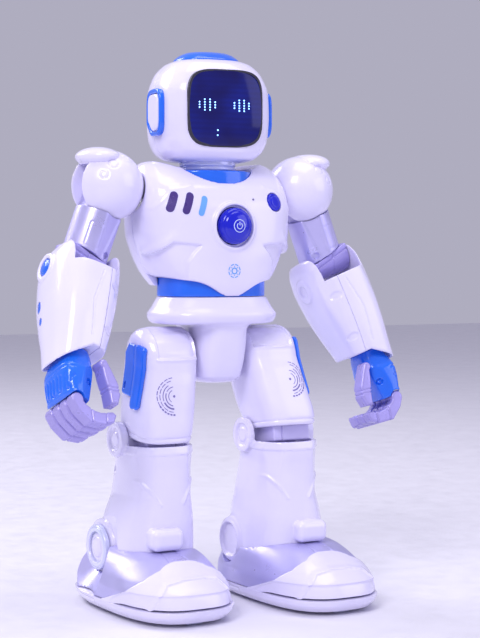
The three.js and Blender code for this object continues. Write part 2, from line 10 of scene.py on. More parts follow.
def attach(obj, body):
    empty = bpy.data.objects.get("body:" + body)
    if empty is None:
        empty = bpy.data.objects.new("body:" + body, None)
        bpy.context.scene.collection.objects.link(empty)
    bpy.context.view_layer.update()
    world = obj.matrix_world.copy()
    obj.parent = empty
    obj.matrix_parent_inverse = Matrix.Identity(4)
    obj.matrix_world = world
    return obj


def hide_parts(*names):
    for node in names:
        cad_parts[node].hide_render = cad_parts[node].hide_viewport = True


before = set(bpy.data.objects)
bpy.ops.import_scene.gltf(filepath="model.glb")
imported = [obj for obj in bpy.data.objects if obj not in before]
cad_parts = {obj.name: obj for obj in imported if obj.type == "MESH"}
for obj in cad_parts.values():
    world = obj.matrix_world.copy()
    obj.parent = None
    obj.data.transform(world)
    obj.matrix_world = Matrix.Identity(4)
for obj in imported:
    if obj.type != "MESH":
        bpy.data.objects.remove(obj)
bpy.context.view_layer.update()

MM = 0.001
COARSE = 1.0
RAD = math.pi / 180

# --- fields: each takes x, y, z arrays and gives the distance to a surface, negative inside ---


def smooth_table(stations, count=240):
    """Station rows [z, cx, cy, hx, hy, power] as close rows on a curve that never overshoots them."""
    rows = np.array(stations, float)
    z, values = rows[:, 0], rows[:, 1:]
    span = np.diff(z)[:, None]
    slope = np.diff(values, axis=0) / span
    tangent = np.vstack([slope[:1], np.zeros((len(z) - 2, values.shape[1])), slope[-1:]])
    both = slope[:-1] * slope[1:] > 0
    with np.errstate(divide="ignore", invalid="ignore"):
        mean = 2 / (1 / slope[:-1] + 1 / slope[1:])
    tangent[1:-1] = np.where(both, mean, 0)
    fine = np.linspace(z[0], z[-1], count)
    i = np.clip(np.searchsorted(z, fine, side="right") - 1, 0, len(z) - 2)
    h = span[i]
    t = ((fine - z[i])[:, None]) / h
    out = (
        (1 + 2 * t) * (1 - t) ** 2 * values[i] + t * (1 - t) ** 2 * h * tangent[i]
        + t * t * (3 - 2 * t) * values[i + 1] + t * t * (t - 1) * h * tangent[i + 1]
    )
    return fine, out


def meet(a, b, k=0.0):
    """Where both are, with the shared edge rounded by k."""
    if k <= 0:
        return np.maximum(a, b)
    h = np.maximum(k - np.abs(a - b), 0)
    return np.maximum(a, b) + h * h / (4 * k)


def join(a, b, k=0.0):
    """Where either is, with the inner edge filled by k."""
    return -meet(-a, -b, k)


def cut(a, b, k=0.0):
    """Where a is and b is not, with the edge rounded by k."""
    return meet(a, -b, k)


def loft(stations, low=1.0, high=1.0):
    """Body through level rounded-rectangle sections, its two ends rounded by low and high."""
    zs, rows = smooth_table(stations)
    slopes = np.gradient(rows[:, :4], zs, axis=0)

    def field(x, y, z):
        at = lambda table: np.interp(z, zs, table)
        cx, cy, hx, hy, power = (at(rows[:, k]) for k in range(5))
        u, v = x - cx, y - cy
        reach = np.sqrt(u * u + v * v) + 1e-6
        rho = ((np.abs(u) / hx) ** power + (np.abs(v) / hy) ** power + 1e-12) ** (1 / power)
        cu, cv = u / reach, v / reach
        lean = (
            np.abs(cu) * at(slopes[:, 2]) + np.abs(cv) * at(slopes[:, 3])
            + cu * at(slopes[:, 0]) + cv * at(slopes[:, 1])
        )
        d = reach * (1 - 1 / np.maximum(rho, 0.05)) / np.sqrt(1 + np.clip(lean, -5, 5) ** 2)
        d = meet(d, zs[0] - z, low)
        return meet(d, z - zs[-1], high)

    return field


def ball(x, y, z, cx, cy, cz, rx, ry=None, rz=None):
    """Ball of radius rx, or ellipsoid where ry and rz are given."""
    ry, rz = ry or rx, rz or rx
    u, v, w = (x - cx) / rx, (y - cy) / ry, (z - cz) / rz
    size = np.sqrt(u * u + v * v + w * w) + 1e-9
    steep = np.sqrt((u / rx) ** 2 + (v / ry) ** 2 + (w / rz) ** 2) / size + 1e-9
    return (size - 1) / steep


def rod(u, v, w, cu, cv, radius, low, high, k=0.6):
    """Round bar: u, v across it and w along it."""
    d = np.sqrt((u - cu) ** 2 + (v - cv) ** 2) - radius
    return meet(meet(d, low - w, k), w - high, k)


def block(x, y, z, lo, hi, r=1.0):
    """Box from corner lo to corner hi with its edges rounded by r."""
    out = []
    for c, a, b in zip((x, y, z), lo, hi):
        out.append(np.abs(c - (a + b) / 2) - (b - a) / 2 + r)
    outside = np.sqrt(sum(np.maximum(q, 0) ** 2 for q in out))
    return outside + np.minimum(np.maximum(np.maximum(out[0], out[1]), out[2]), 0) - r


def rounded(u, v, hu, hv, power):
    """Distance in a plane to a rounded rectangle about the origin."""
    reach = np.sqrt(u * u + v * v) + 1e-6
    rho = ((np.abs(u) / hu) ** power + (np.abs(v) / hv) ** power + 1e-12) ** (1 / power)
    return reach * (1 - 1 / np.maximum(rho, 0.05))


def path(u, v, points):
    """Distance in a plane to an open line."""
    best = np.full(np.shape(u), 1e9)
    for (ax, ay), (bx, by) in zip(points[:-1], points[1:]):
        ex, ey = bx - ax, by - ay
        t = np.clip(((u - ax) * ex + (v - ay) * ey) / (ex * ex + ey * ey), 0, 1)
        best = np.minimum(best, (u - ax - ex * t) ** 2 + (v - ay - ey * t) ** 2)
    return np.sqrt(best)


def polygon(u, v, points):
    """Distance in a plane to a closed outline, negative inside."""
    closed = [*points, points[0]]
    sign = np.ones(np.shape(u))
    for (ax, ay), (bx, by) in zip(closed[:-1], closed[1:]):
        up, down, left = v >= ay, v < by, (bx - ax) * (v - ay) > (by - ay) * (u - ax)
        sign = np.where((up & down & left) | (~up & ~down & ~left), -sign, sign)
    return sign * path(u, v, closed)


def slab(d, w, low, high, k=0.6):
    """A plane outline's distance d made into a plate from low to high along w."""
    return meet(meet(d, low - w, k), w - high, k)


def step(value, width):
    """Smooth 0 to 1 as value passes from -width to width."""
    t = np.clip(value / width * 0.5 + 0.5, 0, 1)
    return t * t * (3 - 2 * t)


def bump(distance, width):
    """Smooth 1 at no distance, falling to nothing beyond about twice the width."""
    return np.exp(-((distance / width) ** 2))


# --- turning a field into a mesh ---

TETRA = np.array([(1, -1, -1), (-1, -1, 1), (-1, 1, -1), (1, 1, 1)], float)
BLOCK_CELLS = 6  # cells along one side of a block of the grid
NEAR_BLOCKS = 1.75  # blocks whose middle is closer to the surface than this are sampled in full
PROBE = 0.04  # the normals' probe, in cells
CALM = 0.06  # weight that holds a point near the middle of its crossings
SLACK = 0.1  # how far a point may leave its cell, in cells


def sample(field, low, high, size):
    """Grid of field values; blocks far from the surface keep their middle's value."""
    low, high = np.array(low, float), np.array(high, float)
    side = BLOCK_CELLS
    blocks = np.maximum(np.ceil((high - low) / size / side).astype(int), 1)
    middles = [low[a] + (np.arange(blocks[a]) + 0.5) * side * size for a in range(3)]
    coarse = field(*np.meshgrid(*middles, indexing="ij"))
    near = np.abs(coarse) < side * size * NEAR_BLOCKS
    grid = np.kron(coarse, np.ones((side,) * 3))
    where = np.nonzero(np.kron(near, np.ones((side,) * 3, bool)))
    grid[where] = field(*(low[a] + where[a] * size for a in range(3)))
    # the outermost layers lie outside, so every surface closes
    for layers in (grid, grid.swapaxes(0, 1), grid.swapaxes(0, 2)):
        layers[[0, -1]] = np.maximum(layers[[0, -1]], size)
    return grid, low


def surface(field, low, high, size):
    """Quads on the field's surface with its creases: one point per crossed cell, set by the planes around."""
    grid, low = sample(field, low, high, size)
    shape, inside = grid.shape, grid < 0
    cells, normals, crossings, quads = [], [], [], []
    for a in range(3):
        at = np.argwhere(np.diff(inside, axis=a))
        along = np.eye(3, dtype=int)[a]
        f0, f1 = grid[tuple(at.T)], grid[tuple((at + along).T)]
        t0, t1 = np.zeros(len(at)), np.ones(len(at))
        point = low + at * size
        for _ in range(2):
            t = t0 + (t1 - t0) * f0 / (f0 - f1)
            f = field(*(point + np.outer(t * size, along)).T)
            same = (f < 0) == (f0 < 0)
            t0, f0 = np.where(same, t, t0), np.where(same, f, f0)
            t1, f1 = np.where(same, t1, t), np.where(same, f1, f)
            gap = np.abs(f0 - f1) < 1e-9
            f1 = np.where(gap, f0 + np.where(f0 < 0, 1e-6, -1e-6), f1)
        point[:, a] += (t0 + (t1 - t0) * f0 / (f0 - f1)) * size
        normal = sum(k * field(*(point + PROBE * size * k).T)[:, None] for k in TETRA)
        normal /= np.linalg.norm(normal, axis=1, keepdims=True) + 1e-12
        corner = [np.ravel_multi_index((at + np.roll((0, b, c), a)).T, shape, mode="clip")
                  for b, c in ((0, 0), (-1, 0), (-1, -1), (0, -1))]
        quad = np.stack(corner, axis=1)
        leaving = inside[tuple(at.T)]
        quads.append(np.where(leaving[:, None], quad, quad[:, ::-1]))
        cells.append(np.concatenate(corner))
        normals.append(np.tile(normal, (4, 1)))
        crossings.append(np.tile(point, (4, 1)))
    cells, normals, crossings = np.concatenate(cells), np.vstack(normals), np.vstack(crossings)
    quads = np.vstack(quads)
    ids, index = np.unique(cells, return_inverse=True)
    total = lambda value: np.bincount(index, weights=value, minlength=len(ids))
    count = total(np.ones(len(index)))
    middle = np.stack([total(crossings[:, a]) / count for a in range(3)], axis=1)
    offset = np.sum(normals * (crossings - middle[index]), axis=1)
    matrix = np.empty((len(ids), 3, 3))
    for a in range(3):
        for b in range(a, 3):
            matrix[:, a, b] = matrix[:, b, a] = total(normals[:, a] * normals[:, b])
        matrix[:, a, a] += CALM * count
    right = np.stack([total(normals[:, a] * offset) for a in range(3)], axis=1)
    points = middle + np.linalg.solve(matrix, right[:, :, None])[:, :, 0]
    base = low + np.array(np.unravel_index(ids, shape)).T * size
    points = np.clip(points, base - SLACK * size, base + (1 + SLACK) * size)
    return points, np.searchsorted(ids, quads)


MADE = {}
STANCE = (-0.95, 20.5, 0)
SIDES = {"left": False, "right": True}
SHARP_ANGLE = 38


def turned(points, mirror):
    return points * ((-1, 1, 1) if mirror else (1, 1, 1))


def placed(points, at, mirror=False):
    """Local points, in millimetres, in the place of their part; the right side is the left one mirrored."""
    matrix = np.array(at)
    return turned(points @ matrix[:3, :3].T + matrix[:3, 3], mirror) + STANCE


def shape_of(key, field, box, size, mirror):
    """A shape's points and faces; its surface is made once for both sides."""
    if key not in MADE:
        MADE[key] = surface(field, *box, size * COARSE)
    points, quads = MADE[key]
    return points, (quads[:, ::-1] if mirror else quads).tolist()


def solid(name, points, faces, body, slot, replaced=None):
    """One visible piece, riding its body and standing for the CAD node that it replaces."""
    data = bpy.data.meshes.new(name)
    data.from_pydata((np.asarray(points) * MM).tolist(), [], faces)
    data.validate()
    data.shade_smooth()
    data.set_sharp_from_angle(angle=SHARP_ANGLE * RAD)
    made = bpy.data.objects.new(name, data)
    bpy.context.scene.collection.objects.link(made)
    data.materials.append(MATERIALS[slot])
    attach(made, body)
    if replaced:
        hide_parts(replaced)
    SLOT_OF.get(slot, slot)
    return made


def build(body, at, rows, side=None):
    """Pieces on one body, from rows of name, field, box, cell size, slot and replaced CAD node."""
    tag = f"_{side}" if side else ""
    mirror = side == "right"
    for name, field, box, size, slot, node in rows:
        points, faces = shape_of(name, field, box, size, mirror)
        solid(name + tag, placed(points, at, mirror), faces, body + tag, slot, node and node + tag)


def arc(cu, cv, radius, start, end, width, count):
    """Both edges of a curved stroke, as (u, v) points."""
    angles = np.radians(np.linspace(start, end, count))
    ray = np.stack([np.cos(angles), np.sin(angles)], axis=1)
    return (cu, cv) + ray * (radius - width / 2), (cu, cv) + ray * (radius + width / 2)


def stroke(start, end, width, count=13):
    """Both edges of a straight stroke with round ends."""
    start, end = np.array(start, float), np.array(end, float)
    length = np.linalg.norm(end - start)
    along = (end - start) / length
    across = np.array([-along[1], along[0]])
    share = (1 - np.cos(np.linspace(0, np.pi, count))) / 2
    run = -width / 2 + share * (length + width)
    over = np.maximum(np.maximum(-run, run - length), 0)
    half = np.sqrt(np.maximum((width / 2) ** 2 - over ** 2, 0.003))
    spine = start + run[:, None] * along
    return spine - half[:, None] * across, spine + half[:, None] * across


def rings_of(base, around, count):
    """Faces between count rings of points, each ring with the same number of points around."""
    return [[base + around * i + k, base + around * i + (k + 1) % around,
             base + around * (i + 1) + (k + 1) % around, base + around * (i + 1) + k]
            for i in range(count - 1) for k in range(around)]


def printed(name, field, strokes, slot, body, at, mirror=False, lift=0.2):
    """Thin raised print lying on the front (-Y) of a field's surface."""
    before, sink, steps, share = -62.0, 0.8, 160, 0.7
    points, faces = [], []
    for left, right in strokes:
        rows = []
        for edge, depth in ((left, -lift), (right, -lift), (right, sink), (left, sink)):
            u, v = edge[:, 0], edge[:, 1]
            y = np.full(len(u), before)
            for _ in range(steps):
                y += field(u, y, v) * share
            rows.append(np.stack([u, y + depth, v], axis=1))
        base, count = sum(map(len, points)), len(left)
        points.append(np.stack(rows, axis=1).reshape(-1, 3))
        faces += rings_of(base, 4, count)
        last = base + 4 * (count - 1)
        faces += [[base + 3, base + 2, base + 1, base], [last, last + 1, last + 2, last + 3]]
    made = solid(name, placed(np.concatenate(points), at, mirror), faces, body, slot)
    mesh = bmesh.new()
    mesh.from_mesh(made.data)
    bmesh.ops.recalc_face_normals(mesh, faces=mesh.faces)
    mesh.to_mesh(made.data)
    mesh.free()


# --- materials ---


def nodes_of(name):
    """A new material with its node tree, shader and texture coordinates."""
    material = bpy.data.materials.new(name)
    material.use_nodes = True
    tree = material.node_tree
    shader = tree.nodes["Principled BSDF"]
    place = tree.nodes.new("ShaderNodeTexCoord")
    return material, tree, shader, place


def fill(node, values):
    """Uniform values on a node's own sockets."""
    for name, value in values.items():
        node.inputs[name].default_value = value


def noise(tree, place, scale, detail=3.0, rough=0.5):
    made = tree.nodes.new("ShaderNodeTexNoise")
    fill(made, {"Scale": scale, "Detail": detail, "Roughness": rough})
    tree.links.new(place.outputs["Object"], made.inputs["Vector"])
    return made


def spread(tree, value, low, high, start=0.35, end=0.65):
    """A value that goes from low to high while the given one goes from start to end."""
    made = tree.nodes.new("ShaderNodeMapRange")
    fill(made, {"From Min": start, "From Max": end, "To Min": low, "To Max": high})
    tree.links.new(value, made.inputs["Value"])
    return made.outputs["Result"]


def blend(tree, factor, first, second):
    """Colour between two, by a value from 0 to 1."""
    mix = tree.nodes.new("ShaderNodeMix")
    mix.data_type = "RGBA"
    fill(mix, {"A": (*first, 1), "B": (*second, 1)})
    tree.links.new(factor, mix.inputs["Factor"])
    return mix.outputs["Result"]


def smudge(tree, shader, place, low, high):
    """Uneven gloss."""
    cloud = noise(tree, place, 55, 5, 0.6)
    tree.links.new(spread(tree, cloud.outputs["Fac"], low, high), shader.inputs["Roughness"])


def moulded(name, color, shade, rough, coat=0.0, grain=900, peel=0.02, metal=0.0):
    """Moulded or painted plastic: cloudy colour, uneven gloss, and a fine texture."""
    material, tree, shader, place = nodes_of(name)
    cloud = noise(tree, place, 22, 4)
    result = blend(tree, spread(tree, cloud.outputs["Fac"], 0, 1), color, shade)
    tree.links.new(result, shader.inputs["Base Color"])
    smudge(tree, shader, place, rough * 0.75, rough * 1.35)
    fine = noise(tree, place, grain, 2)
    relief = tree.nodes.new("ShaderNodeBump")
    fill(relief, {"Strength": peel, "Distance": 0.0004})
    tree.links.new(fine.outputs["Fac"], relief.inputs["Height"])
    tree.links.new(relief.outputs["Normal"], shader.inputs["Normal"])
    fill(shader, {"Metallic": metal, "Coat Weight": coat, "Coat Roughness": 0.06})
    return material


def screen(name, glass, dim, bright):
    """Dark display glass, with its cloudy blue backlight showing through faint rows."""
    material, tree, shader, place = nodes_of(name)
    rows = tree.nodes.new("ShaderNodeTexWave")
    rows.bands_direction = "Z"
    fill(rows, {"Scale": 85, "Distortion": 0.6})
    tree.links.new(place.outputs["Object"], rows.inputs["Vector"])
    cloud = noise(tree, place, 34, 2)
    level = tree.nodes.new("ShaderNodeMath")
    level.operation = "MULTIPLY"
    tree.links.new(spread(tree, cloud.outputs["Fac"], 0, 0.8), level.inputs[0])
    tree.links.new(spread(tree, rows.outputs["Fac"], 0.7, 1.0, 0.0, 1.0), level.inputs[1])
    result = blend(tree, level.outputs["Value"], dim, bright)
    tree.links.new(result, shader.inputs["Emission Color"])
    smudge(tree, shader, place, 0.05, 0.1)
    fill(shader, {"Base Color": (*glass, 1), "Emission Strength": 0.42, "Specular IOR Level": 0.3})
    return material


def glow(name, color, strength):
    """Light of one small lamp, paler here and there."""
    material, tree, shader, place = nodes_of(name)
    flicker = noise(tree, place, 700, 1)
    result = blend(tree, flicker.outputs["Fac"], color, [0.85 * c + 0.15 for c in color])
    tree.links.new(result, shader.inputs["Emission Color"])
    tree.links.new(result, shader.inputs["Base Color"])
    fill(shader, {"Emission Strength": strength})
    return material


# name: colour, its cloudy shade, roughness, then clear coat, grain, peel and metal where they are not plain
PLASTICS = {
    "white_gloss": ((0.79, 0.76, 0.96), (0.75, 0.72, 0.94), 0.2, 0.35),
    "blue_gloss": ((0.012, 0.16, 0.86), (0.009, 0.13, 0.78), 0.16, 0.5),
    "blue_deep": ((0.001, 0.008, 0.62), (0.001, 0.006, 0.50), 0.12, 0.25),
    "silver_satin": ((0.56, 0.53, 0.84), (0.50, 0.48, 0.79), 0.36, 0, 1800, 0.05, 0.5),
    "lilac_satin": ((0.40, 0.36, 0.74), (0.36, 0.32, 0.68), 0.32, 0, 1200, 0.05, 0.2),
    "pearl_trim": ((0.72, 0.72, 0.95), (0.66, 0.70, 0.92), 0.18, 0.5, 900, 0.02, 0.15),
    "circuit_board": ((0.03, 0.2, 0.09), (0.02, 0.16, 0.07), 0.5),
    # the lilac plastic made lighter: painted light on the knee link, which sits in shade between thigh and
    # shin
    "lilac_painted_light": ((0.62, 0.58, 0.88), (0.57, 0.53, 0.84), 0.34, 0, 1200, 0.05),
    "battery_wrap": ((0.03, 0.09, 0.42), (0.02, 0.07, 0.36), 0.35),
    "dark_plastic": ((0.03, 0.03, 0.045), (0.022, 0.022, 0.035), 0.42, 0, 900, 0.08),
    "wheel_rubber": ((0.03, 0.03, 0.035), (0.022, 0.022, 0.026), 0.75, 0, 1600, 0.3),
    "print_violet": ((0.07, 0.04, 0.22), (0.06, 0.03, 0.19), 0.35),
    "print_grey": ((0.20, 0.17, 0.42), (0.17, 0.14, 0.38), 0.4),
    "print_pale": ((0.62, 0.72, 1.0), (0.56, 0.66, 0.95), 0.3),
    "print_sky": ((0.16, 0.42, 0.88), (0.14, 0.38, 0.82), 0.3),
}
MATERIALS = {name: moulded(name, *values) for name, values in PLASTICS.items()}
MATERIALS["visor_smoked"] = screen(
    "visor_smoked", (0.003, 0.003, 0.03), (0.010, 0.008, 0.16), (0.012, 0.03, 0.55))
MATERIALS["led_glow"] = glow("led_glow", (0.16, 0.42, 1.0), 3.2)
SLOT_OF = {"led_glow": "led_light", "print_violet": "dark_plastic", "print_grey": "dark_plastic",
           "print_sky": "blue_gloss", "print_pale": "white_gloss", "blue_deep": "blue_gloss",
           "lilac_painted_light": "lilac_satin", "battery_wrap": "dark_plastic"}

# --- places ---

move = lambda x, y, z: Matrix.Translation((x, y, z))
turn = lambda degrees, axis: Matrix.Rotation(degrees * RAD, 4, axis)
HIP_Z, THIGH_LENGTH, KNEE_Z = 175.31, 56, 120
SHOULDER, ELBOW_DROP, WRIST_DROP = (80, 5.5, 299.5), 56, 76
BEND = {"left": 14, "right": 27}
SWING = {"left": -9, "right": 9}
TORSO_AT = Matrix.Identity(4)
HEAD_AT = move(0, 4, 0) @ turn(-7, "Z")
SHOULDER_AT = move(*SHOULDER)
ARM_AT = SHOULDER_AT @ turn(-20.5, "Y")
FORE_AT = {side: ARM_AT @ move(0, 0, -ELBOW_DROP) @ turn(-BEND[side], "X") for side in SIDES}
HAND_AT = {side: FORE_AT[side] @ move(0, 0, -WRIST_DROP) for side in SIDES}
THIGH_AT = {side: move(42, -2, HIP_Z) @ turn(SWING[side], "X") for side in SIDES}
SHIN_AT = {
    side: THIGH_AT[side] @ move(0, 0, -THIGH_LENGTH) @ turn(-SWING[side], "X") @ move(0, 0, -KNEE_Z)
    for side in SIDES
}

# --- head ---

HEAD = loft([
    (317.8, 0, 0, 25, 22, 2.6), (320.2, 0, 0, 32, 28, 2.8), (326, 0, 0, 37.5, 33, 3.2),
    (335, 0, 0, 40.3, 35.5, 3.4), (351, 0, 0, 41.2, 36.2, 3.5), (366, 0, 0, 40.7, 35.7, 3.5),
    (379, 0, 0.5, 37.5, 32.5, 3.1), (387.5, 0, 1, 31, 27, 2.7), (392.6, 0, 2, 20, 17, 2.4)], 1.5, 3)
VISOR_Z = 355
VISOR_OUT, GLASS_RADIUS, GLASS_BACK = 36.9, 170, 133.2
CAP = loft([(385.5, 0, 3, 24, 21, 2.5), (391, 0, 3, 23.6, 20.6, 2.5), (394.5, 0, 3.5, 20.5, 17.5, 2.5),
            (396.8, 0, 3.5, 16, 13, 2.4), (398, 0, 3.5, 12, 9, 2.3)], 0.5, 1.5)
CAP_ROOM = loft([(384, 0, 3, 24.5, 21.5, 2.5), (391, 0, 3, 24.1, 21.1, 2.5), (400, 0, 3, 24, 21, 2.5)])


def face(x, z, grow):
    """The visor's outline, wider all round by grow."""
    return rounded(x, z - VISOR_Z, 29.2 + grow, 28 + grow, 4.2)


def skull(x, y, z):
    d = HEAD(x, y, z)
    d = cut(d, slab(face(x, z, 4.5), -y, 34.6, 80, 1), 2.5)
    d = cut(d, slab(face(x, z, -0.6), -y, 31.5, 80, 0.3), 0.8)
    d = cut(d, CAP_ROOM(x, y, z), 1.2)
    d = cut(d, rod(x, y, z, 0, 0, 8.2, 300, 330, 0.3), 0.5)
    return cut(d, d + 4.2)


def visor(x, y, z):
    d = slab(face(x, z, -1.1), -y, 29, VISOR_OUT, 1.6)
    return meet(d, ball(x, y, z, 0, GLASS_BACK, VISOR_Z - 1, GLASS_RADIUS), 1.2)


def visor_front(x, z):
    """How far forward the visor's glass stands at this spot."""
    return min(VISOR_OUT, math.sqrt(GLASS_RADIUS ** 2 - x ** 2 - (z - VISOR_Z + 1) ** 2) - GLASS_BACK)


def visor_gasket(x, y, z):
    return slab(cut(face(x, z, -0.7), face(x, z, -2.2)), -y, 31, 34.4, 0.3)


def ear_outline(y, z, hy, hz):
    d = rounded(y + 4, z - 352.7, hy, hz, 4)
    return meet(d, (y + 4) * 0.7 - (z - 352.7) * 0.71 - hy * 0.7 - hz * 0.71 + 5.5, 1.5)


def ear_ring(x, y, z):
    ring = np.abs(ear_outline(y, z, 12.2, 15.2)) - 1.75
    d = meet(ring, np.abs(x - 40.2) - 3.7, 1.6)
    d = cut(d, block(x, y, z, (44, 1, 339), (50, 14, 344.5), 0.8), 0.8)
    return cut(d, HEAD(x, y, z) - 0.15)


def ear_pad(x, y, z):
    d = meet(ear_outline(y, z, 10.2, 13.2), np.abs(x - 40) - 4.3, 1.8)
    return cut(d, HEAD(x, y, z) - 0.15)


def neck(x, y, z):
    d = rod(x, y, z, 0, 0, 20.4, 311.9, 318.6, 1)
    d = d + 0.5 * bump(z - 314.6, 0.6)
    return join(d, rod(x, y, z, 0, 0, 7.6, 298, 322, 0.5), 0.6)


def build_ears():
    """Ears are mirrored in the head's own place, because the head is turned."""
    for side, mirror in SIDES.items():
        for part, field, slot in (("ear_ring", ear_ring, "blue_gloss"), ("ear_pad", ear_pad, "white_gloss")):
            points, faces = shape_of(part, field, ((34, -22, 332), (50, 14, 373)), 0.6, mirror)
            points = placed(turned(points, mirror), HEAD_AT)
            solid(f"{part}_{side}_shape", points, faces, "head", slot, f"{part}_{side}")


def build_face_lights():
    """Two eyes, each of four columns of dots, and two dots below them: small domes on the glass."""
    around, rings = 10, ((0.58, -0.3), (0.58, 0.02), (0.44, 0.14), (0.22, 0.2))
    dots = [(eye + column * 3.83, 356.8 + row * 1.85) for eye in (-14.8, 11.4)
            for column, count in ((-1.5, 3), (-0.5, 5), (0.5, 5), (1.5, 3))
            for row in np.arange(count) - (count - 1) / 2]
    dots += [(-6.8, 339.1), (-6.8, 335.6)]
    angles = [2 * math.pi * k / around for k in range(around)]
    points, faces = [], []
    for x, z in dots:
        base = len(points)
        points += [(x + radius * math.cos(a), -visor_front(x, z) - height, z + radius * math.sin(a))
                   for radius, height in rings for a in angles]
        faces += rings_of(base, around, len(rings))
        last = base + around * (len(rings) - 1)
        faces += [[*range(base + around - 1, base - 1, -1)], [*range(last, last + around)]]
    solid("face_lights", placed(np.array(points), HEAD_AT), faces, "head", "led_glow")


def build_head():
    seam, gap = 3, 0.12
    box = ((-48, -42, 312), (48, 42, 402))
    front = lambda x, y, z: meet(skull(x, y, z), y - seam + gap, 0.35)
    rear = lambda x, y, z: meet(skull(x, y, z), seam + gap - y, 0.35)
    build("head", HEAD_AT, [
        ("head_front", front, box, 1.0, "white_gloss", "head_front_shell"),
        ("head_rear", rear, box, 1.15, "white_gloss", "head_rear_shell"),
        ("head_cap_dome", CAP, ((-28, -22, 383), (28, 28, 400)), 0.8, "blue_gloss", "head_cap"),
        ("visor_glass", visor, ((-32, -40, 323), (32, -26, 387)), 0.9, "visor_smoked", "face_visor"),
        ("visor_gasket", visor_gasket, ((-33, -38, 323), (33, -29, 388)), 0.7, "dark_plastic", None),
        ("neck_ring", neck, ((-25, -25, 296), (25, 25, 324)), 0.9, "pearl_trim", "neck_post"),
    ])
    build_ears()
    build_face_lights()


# --- torso ---

TORSO = loft([
    (217, 0, 0, 33, 30.5, 2.6), (222, 0, 0, 35, 32, 2.6), (230, 0, 1, 43, 35, 2.8),
    (240, 0, 2.5, 50, 37.5, 2.9), (254, 0, 4, 56, 39, 3), (268, 0, 5, 59.5, 39.5, 3),
    (283, 0, 5.5, 60, 39, 3.1), (296, 0, 6, 59, 35, 3.1), (305, 0, 8, 57.5, 29.5, 3.1),
    (313, 0, 10, 54, 21.5, 3), (318, 0, 11, 50, 15, 2.8)], 1, 4)
WAIST = loft([(221.4, 0, -1, 39.5, 30, 2.5), (236, 0, -1, 39.5, 30, 2.5)], 0.8, 0.8)
WAIST_ROOM = loft([(200, 0, -1, 40, 30.5, 2.5), (236.4, 0, -1, 40, 30.5, 2.5)], 0.5, 0.5)
COLLAR = loft([(297.8, 0, 1, 30.6, 24.6, 2.2), (310.4, 0, 1, 30.6, 24.6, 2.2), (311.4, 0, 1, 30, 24, 2.2)],
              0.8, 0.6)
COLLAR_ROOM = loft([(297.4, 0, 1, 30.9, 24.9, 2.2), (340, 0, 1, 30.9, 24.9, 2.2)], 0.5, 0.5)
BUTTON_Z, DIAL_Z = 271.5, 239.7
LENS_AT = move(37, -27.6, 289) @ turn(18, "Z") @ turn(-16, "X")


def within(matrix, x, y, z):
    """The same points in the frame of a placed part."""
    m = np.array(matrix.inverted())
    return tuple(m[a, 0] * x + m[a, 1] * y + m[a, 2] * z + m[a, 3] for a in range(3))


def chest_relief(x, y, z):
    """How far the chest's skin sinks (+) or stands proud (-) of its plain loft."""
    ax = np.abs(x)
    under = np.interp(ax, [0, 18, 25, 32, 45, 56, 63], [264, 262, 257.5, 258.5, 259.5, 251, 246])
    belly = np.interp(z, [224, 236, 246, 252, 258, 264], [33, 34.5, 35, 31, 25, 18])
    front = step(-y - 1, 5)
    flank = step(under - z, 1.2) * step(ax - belly, 1.3)
    lip = bump(z - under - 3, 4) * step(ax - 44, 8)
    rib = bump(path(ax, z, [(30, 300), (45, 296), (56, 284)]), 1.5)
    return front * (2.2 * flank - 1.6 * lip - 0.5 * rib)


def chest_skin(x, y, z):
    return TORSO(x, y, z) + chest_relief(x, y, z)


def torso_skin(x, y, z):
    """The torso's outside with room for the shoulders, neck, collar and waist band, and hollow inside."""
    d = chest_skin(x, y, z)
    out, back_by, up = SHOULDER
    for side in (-1, 1):
        d = cut(d, ball(x, y, z, side * out, back_by, up, 26.6), 0.8)
    brim = 314 + 0.5 * np.maximum(np.hypot(x, y - 4) - 34, 0)
    d = cut(d, (brim - z) * 0.9, 1.5)
    d = cut(d, COLLAR_ROOM(x, y, z), 1.4)
    d = cut(d, WAIST_ROOM(x, y, z), 0.4)
    return cut(d, meet(TORSO(x, y, z) + 5.2, z - 300, 3))


def chest(x, y, z):
    ax = np.abs(x)
    d = meet(torso_skin(x, y, z), y - 6.8, 0.6)
    low = 233.4 - 12.6 * bump(x, 18) + 0.012 * np.maximum(ax - 30, 0) ** 2
    d = meet(d, low - z, 1.0)
    d = join(d, meet(np.abs(np.hypot(x, z - BUTTON_Z) - 16.0) - 1.5, np.abs(y + 33.9) - 2.4, 1.4), 1.6)
    d = cut(d, rod(x, z, -y, 0, BUTTON_Z, 14.8, 33.6, 80, 0.5), 0.8)
    d = cut(d, rod(x, z, -y, 0, BUTTON_Z, 13.4, 20, 80, 0.3), 0.4)
    u, v, w = within(LENS_AT, x, y, z)
    d = cut(d, rod(u, w, -v, 0, 0, 7.2, -2, 30, 0.3), 0.8)
    return cut(d, rod(x, z, -y, 18, 290.5, 0.9, 20, 80, 0.2))


def back(x, y, z):
    d = meet(torso_skin(x, y, z), 7.05 - y, 0.6)
    d = meet(d, 229 - z, 1.0)
    d = cut(d, block(x, y, z, (-24.4, 20, 238.6), (24.4, 60, 289.4), 1.5), 0.5)
    spine = step(6 - np.abs(x), 1.5) * step(z - 292, 1.5) * step(308 - z, 1.5)
    return d + 0.9 * spine


def door(x, y, z):
    d = meet(TORSO(x, y, z), block(x, y, z, (-24, 30, 239), (24, 60, 289), 1.5), 0.5)
    d = cut(d, TORSO(x, y, z) + 3)
    grip = step(9 - np.abs(x), 1) * step(z - 280, 1) * step(286 - z, 1)
    ribs = bump((z - 283) % 2 - 1, 0.5) * grip
    screw = np.hypot(np.abs(x) - 18, z - 245) - 2.6
    return d + 0.8 * grip - 0.5 * ribs + 1.2 * step(-screw, 0.4)


